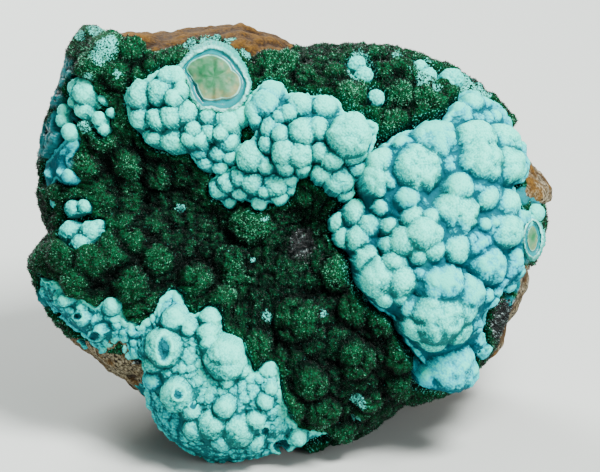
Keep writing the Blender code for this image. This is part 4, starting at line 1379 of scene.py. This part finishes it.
@dataclass
class ChrysocollaGrowth:
    """One window of pale blue balls on the crust, with the coat that they stand in."""

    name: str
    node: str
    lumps: tuple
    centre: tuple
    wide: tuple
    tall: tuple
    columns: int = 300
    rows: int = 300
    coats: tuple = ()
    coat_tone: float = 0.2
    frosting: float = 1.0
    craters: tuple = ()
    lift: float = 0.34
    plump: float = 1.14
    coat: float = 0.4
    verge: float = 0.42
    fullness: float = 2.5
    bud_pitch: float = 1.5
    bud_rise: float = 0.45
    sugar_pitch: float = 0.46
    sugar_rise: float = 0.16
    under: float = -2.8

    def cast(self, flat: Array) -> tuple[Array, Array, Array]:
        """Find how far the balls and their coat reach along each way from the point behind.

        Args:
            flat: Unit directions, (n, 3).

        Returns:
            The reach, the tone, and whether a ball stands out of the coat, at each way.
        """
        ground = Block.ground(flat)
        points = BEHIND + flat * ground[:, None]
        seats = seated(self.lumps + self.coats, 0.0)
        depth, coat_tone = bunch_depth(points, seats)
        here, _ = bunch_depth(np.array([seat[0] for seat in seats[:len(self.lumps)]]), seats)
        heap = self.fullness * smoothstep(here, 1.1, 2.6)
        balls, tone = ball_reach(flat, points, seated(self.lumps, self.lift, heap, self.plump))
        warped = points + 0.5 * Grain.smooth(points, 1.9, 51)[:, None]
        near, _ = Grain.cells(warped, self.bud_pitch, 41)
        buds = np.sqrt(np.clip(1 - (near / 0.68) ** 2, 0, 1))
        ragged = depth + 0.14 * Grain.smooth(points, 1.6, 3) + 0.12 * Grain.smooth(points, 0.6, 4)
        coat = self.under + (self.coat - self.under) * smoothstep(ragged, self.verge, self.verge + 0.12)
        coat += 0.85 * self.fullness * smoothstep(depth, 0.9, 2.2) + self.bud_rise * buds
        stand = balls - ground
        proud = stand > coat
        skirt = np.maximum(coat_tone, self.coat_tone)
        tone = np.where(proud, np.maximum(tone, skirt * (1 - smoothstep(stand - coat, 0.1, 1.6))), skirt)
        height = np.where(proud, stand + 0.12 * buds, coat)
        inside = smoothstep(dome_share(points), -0.1, 0.3)
        return ground + height * (1 - inside) - 3.0 * inside, tone, proud

    def dig(self, sheet: Sheet, points: Array) -> Array:
        """Break the balls that are craters: a raised rim round a hollow.

        Args:
            sheet: The growth's grid, which is pushed in and out.
            points: Its places before the sugar.

        Returns:
            How surely each place lies in a hollow, from 0 to 1.
        """
        hollow = np.zeros(len(points))
        for across, up, wide, tall in self.craters:
            away = np.hypot((points[:, 0] - across) / wide, (points[:, 1] - up) / tall)
            away = away + 0.15 * Grain.smooth(points, 0.8, 49)
            rim = 0.22 * np.exp(-((away - 1.25) / 0.22) ** 2)
            sheet.push(rim - 0.7 * wide * smoothstep(1.1 - away, 0.0, 0.35))
            hollow = np.maximum(hollow, smoothstep(1.1 - away, 0.0, 0.2))
        return hollow

    def build(self, finish: bpy.types.Material) -> bpy.types.Object:
        """Lay a grid over the window, cast it onto the balls, and grain it.

        Args:
            finish: The growth's material.

        Returns:
            The growth, closed behind, whose borders dip under the malachite.
        """
        ways = window_ways(*self.centre, self.wide, self.tall, self.columns, self.rows)
        flat = ways.reshape(-1, 3)
        reach, tone, proud = self.cast(flat)
        sheet = Sheet((BEHIND + flat * reach[:, None]).reshape(ways.shape))
        points = sheet.flat
        near, _ = Grain.cells(points, self.sugar_pitch, 43)
        sheet.push(self.sugar_rise * (0.75 - near) + 0.05 * Grain.smooth(points, self.sugar_pitch / 2, 47))
        hollow = self.dig(sheet, points)
        # Painted light: places that face up, right and out, towards the key light, are made paler
        facing = sheet.blurred(sheet.normals() @ FROST_AND_LIGHT_WAY, 3)
        relief = 0.45 + 0.30 * sheet.relief(1.8) + 0.2 * sheet.relief(0.8) + 0.17 * sheet.relief(0.35)
        relief += 0.65 * (facing - 0.72) + np.where(proud, 0.0, 0.16 - 0.3 * self.coat_tone)
        # Painted shade: the crater hollows and the creases are made darker
        relief = relief - 0.3 * (1 - self.frosting) - 0.3 * hollow
        values = {"relief": relief, "tone": np.maximum(sheet.blurred(tone, 2), 0.6 * hollow)}
        behind = np.array((*self.centre, Block.out_at(*self.centre))) * 0.6 + MIDDLE * 0.4
        made = MeshMaker.closed_sheet(self.name, sheet, behind, values)
        made.data.materials.append(finish)
        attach(made, "root")
        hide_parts(self.node)
        return made


@dataclass
class LimoniteMatrix:
    """The brown rock behind the crust: the block's back, broken along flat facets."""

    count: int = 300
    widest: float = 118.0
    step_back: float = 7.0
    block_pitch: float = 7.0
    crumb_pitch: float = 1.7

    def build(self) -> bpy.types.Object:
        """Wrap a grid over the back, cut it by the facets, roughen it and close it in front."""
        ways = dome_ways(self.count, self.widest) * np.array((-1.0, 1.0, -1.0))
        flat = ways.reshape(-1, 3)
        reach = Block.plain_reach(flat, MATRIX_OUTLINE)
        for across, up, out, distance in MATRIX_FACETS:
            facing = flat @ (np.array((across, up, out)) / math.hypot(across, up, out))
            reach = np.where(facing > 0.01, np.minimum(reach, distance / np.clip(facing, 0.01, None)), reach)
        turn = np.arctan2(flat[:, 1], flat[:, 0])
        past = Block.outline_radius(CRUST_LIP, turn) - Block.outline_radius(MATRIX_OUTLINE, turn)
        out = MIDDLE[2] + flat[:, 2] * reach
        reach = reach - self.step_back * smoothstep(past, 0.0, 3.0) * smoothstep(out, -7.0, -2.0)
        sheet = Sheet((MIDDLE + flat * reach[:, None]).reshape(ways.shape))
        points = sheet.flat
        near, far = Grain.cells(points, self.block_pitch, 61)
        small, _ = Grain.cells(points, self.crumb_pitch, 67)
        rough = 1.3 * Grain.smooth(points, 9.0, 71) + 0.9 * (far - near) - 0.6
        rough += 0.35 * Grain.smooth(points, 2.2, 73) + 0.35 * (0.5 - small)
        sheet.push(rough)
        sheet.push(0.10 * Grain.smooth(sheet.flat, 0.7, 79))
        relief = 0.5 + 0.5 * sheet.relief(1.6)
        behind = MIDDLE + np.array((0, 0, 4.0))
        # Grey stone shows at the lower left and along the right edge
        grey = smoothstep(-(sheet.flat[:, 0] + sheet.flat[:, 1]), 36.0, 46.0)
        grey = np.maximum(grey, smoothstep(sheet.flat[:, 0], 27.0, 33.0))
        values = {"relief": relief, "grey": grey}
        made = MeshMaker.closed_sheet("limonite_matrix_rock", sheet, behind, values, True)
        made.data.materials.append(BrokenLimonite("broken limonite").make())
        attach(made, "root")
        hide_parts("limonite_matrix")
        return made


@dataclass
class Studio:
    """The pale floor, the soft lights and the camera."""

    distance: float = 2.0
    frame_width: float = 0.093
    sensor: float = 36.0

    def floor(self) -> bpy.types.Object:
        """A wide plain sheet of pale paper under the specimen."""
        mesh = bpy.data.meshes.new("studio_floor")
        side = 12.0
        corners = [(-side, -side, 0), (side, -side, 0), (side, side, 0), (-side, side, 0)]
        mesh.from_pydata(corners, [], [(0, 1, 2, 3)])
        made = bpy.data.objects.new("studio_floor", mesh)
        bpy.context.scene.collection.objects.link(made)
        material = bpy.data.materials.new("pale paper")
        material.use_nodes = True
        shader = material.node_tree.nodes["Principled BSDF"]
        shader.inputs["Base Color"].default_value = linear("#b8bdb9")
        shader.inputs["Roughness"].default_value = 0.9
        mesh.materials.append(material)
        return made

    def light(self, name: str, place: tuple, size: float, power: float, colour: tuple) -> None:
        """Hang a square soft light that looks at the specimen.

        Args:
            name: The light's name.
            place: Where it hangs, in metres.
            size: Its side, in metres.
            power: Its power, in watts.
            colour: Its linear colour.
        """
        lamp = bpy.data.lights.new(name, "AREA")
        lamp.size = size
        lamp.energy = power
        lamp.color = colour
        made = bpy.data.objects.new(name, lamp)
        made.location = place
        aim = Vector((0, 0, 0.03)) - Vector(place)
        made.rotation_euler = aim.to_track_quat("-Z", "Y").to_euler()
        bpy.context.scene.collection.objects.link(made)

    def lights(self) -> None:
        """A key from the upper right, one from behind, a weak fill from the left and a low one."""
        self.light("key", (0.22, -0.27, 0.58), 0.22, 14.0, (1.0, 0.995, 0.98))
        self.light("top", (-0.16, 0.32, 0.26), 0.20, 3.6, (0.98, 1.0, 0.99))
        self.light("fill", (-0.5, -0.6, 0.30), 0.4, 0.5, (0.96, 0.98, 1.0))
        self.light("low", (0.42, -0.42, 0.20), 0.3, 2.4, (0.96, 0.98, 1.0))
        world = bpy.context.scene.world or bpy.data.worlds.new("room light")
        bpy.context.scene.world = world
        world.use_nodes = True
        background = world.node_tree.nodes["Background"]
        background.inputs["Color"].default_value = (0.9, 0.95, 0.94, 1.0)
        background.inputs["Strength"].default_value = 0.26

    def camera(self) -> None:
        """A long lens that looks straight at the display face, with its middle in the frame's."""
        lens = bpy.data.cameras.new("camera")
        lens.sensor_width = self.sensor
        lens.lens = self.sensor * self.distance / self.frame_width
        lens.clip_end = 40.0
        made = bpy.data.objects.new("camera", lens)
        tilt = math.radians(FACE_TILT)
        middle = Vector(FACE_SHIFT) * MM
        back = Vector((0.0, -math.cos(tilt), math.sin(tilt))) * self.distance
        made.location = middle + back
        made.rotation_euler = (-back).to_track_quat("-Z", "Y").to_euler()
        bpy.context.scene.collection.objects.link(made)
        bpy.context.scene.camera = made


def growths() -> list[ChrysocollaGrowth]:
    """Every window of chrysocolla, with the solid that it stands for."""
    upper = "chrysocolla_upper_growth"
    made = [
        ChrysocollaGrowth("chrysocolla_dome_bunch", upper, DOME_LUMPS, (-17, 19), (-12, 11), (-11, 10)),
        ChrysocollaGrowth("chrysocolla_centre_bunch", upper, CENTRE_LUMPS, (-1, 13), (-15, 15), (-11, 12),
                          coat_tone=0.5, coat=0.6, frosting=1.3),
        ChrysocollaGrowth("chrysocolla_right_bunch", upper, RIGHT_LUMPS, (20, 0), (-18, 26), (-26, 26),
                          312, 312, RIGHT_COATS, 0.8, plump=1.08, lift=0.16, coat=0.95, verge=0.62),
        ChrysocollaGrowth("chrysocolla_lower_bunch", "chrysocolla_lower_growth", LOWER_LUMPS,
                          (-17, -20), (-28, 24), (-18, 14), 330, 290, LOWER_COATS, 0.12,
                          craters=LOWER_CRATERS, fullness=1.2, bud_pitch=1.2, bud_rise=0.45),
        ChrysocollaGrowth("chrysocolla_corner_bunch", "chrysocolla_corner_growth", CORNER_LUMPS,
                          (-33, 19), (-7, 7), (-7, 7), 160, 160, plump=1.0, verge=0.75, fullness=1.0),
        ChrysocollaGrowth("chrysocolla_left_edge", "chrysocolla_left_drape", LEFT_DRAPE_LUMPS,
                          (-36, 11), (-8, 6), (-8, 6), 150, 150, LEFT_DRAPE_COATS, 0.7, 0.3,
                          bud_rise=0.15, sugar_rise=0.05),
        ChrysocollaGrowth("chrysocolla_trefoil_balls", "chrysocolla_trefoil", TREFOIL_LUMPS,
                          (-33.5, 1.5), (-6, 6), (-6, 6), 150, 150, frosting=0.1, verge=0.8,
                          fullness=0.6, plump=1.05),
    ]
    for number, balls in enumerate(TOP_BALLS, 1):
        across = sum(ball[0] for ball in balls) / len(balls)
        up = sum(ball[1] for ball in balls) / len(balls)
        made.append(ChrysocollaGrowth(f"chrysocolla_small_ball_{number}", f"chrysocolla_top_ball_{number}",
                                      balls, (across, up), (-4.0, 4.0), (-4.0, 4.0), 110, 110,
                                      plump=0.95, verge=0.8, frosting=0.3, bud_pitch=0.9,
                                      sugar_rise=0.25))
    return made


def report(made: bpy.types.Object) -> None:
    """Log a piece's name and how many faces it has."""
    LOG.info("%s: %d faces", made.name, len(made.data.polygons))


def main() -> None:
    """Build the studio and every mineral in order, and report each piece."""
    logging.basicConfig(level=logging.INFO, format="%(name)s %(message)s")
    studio = Studio()
    studio.camera()
    studio.lights()
    studio.floor()
    report(LimoniteMatrix().build())
    crust = MalachiteCrust()
    report(crust.build())
    needles = CrystalPoints("malachite crystals").make()
    for number, seed in enumerate((5, 17), 1):
        report(CrystalNap(crust, f"malachite_nap_{number}", seed).build(needles))
    quartz = CrystalPoints("quartz crystals", "#050808", "#1c2424", "#93a8a6").make()
    report(CrystalNap(crust, "quartz_druse", 29, "druse", 5200, 0.2, 0.6, 0.16).build(quartz))
    cut = CutChrysocolla("cut chrysocolla").make()
    for nodule in nodules():
        report(nodule.build(cut))
    powder = PowderyChrysocolla("powdery chrysocolla").make()
    for growth in growths():
        report(growth.build(powder))


if __name__ == "__main__":
    main()
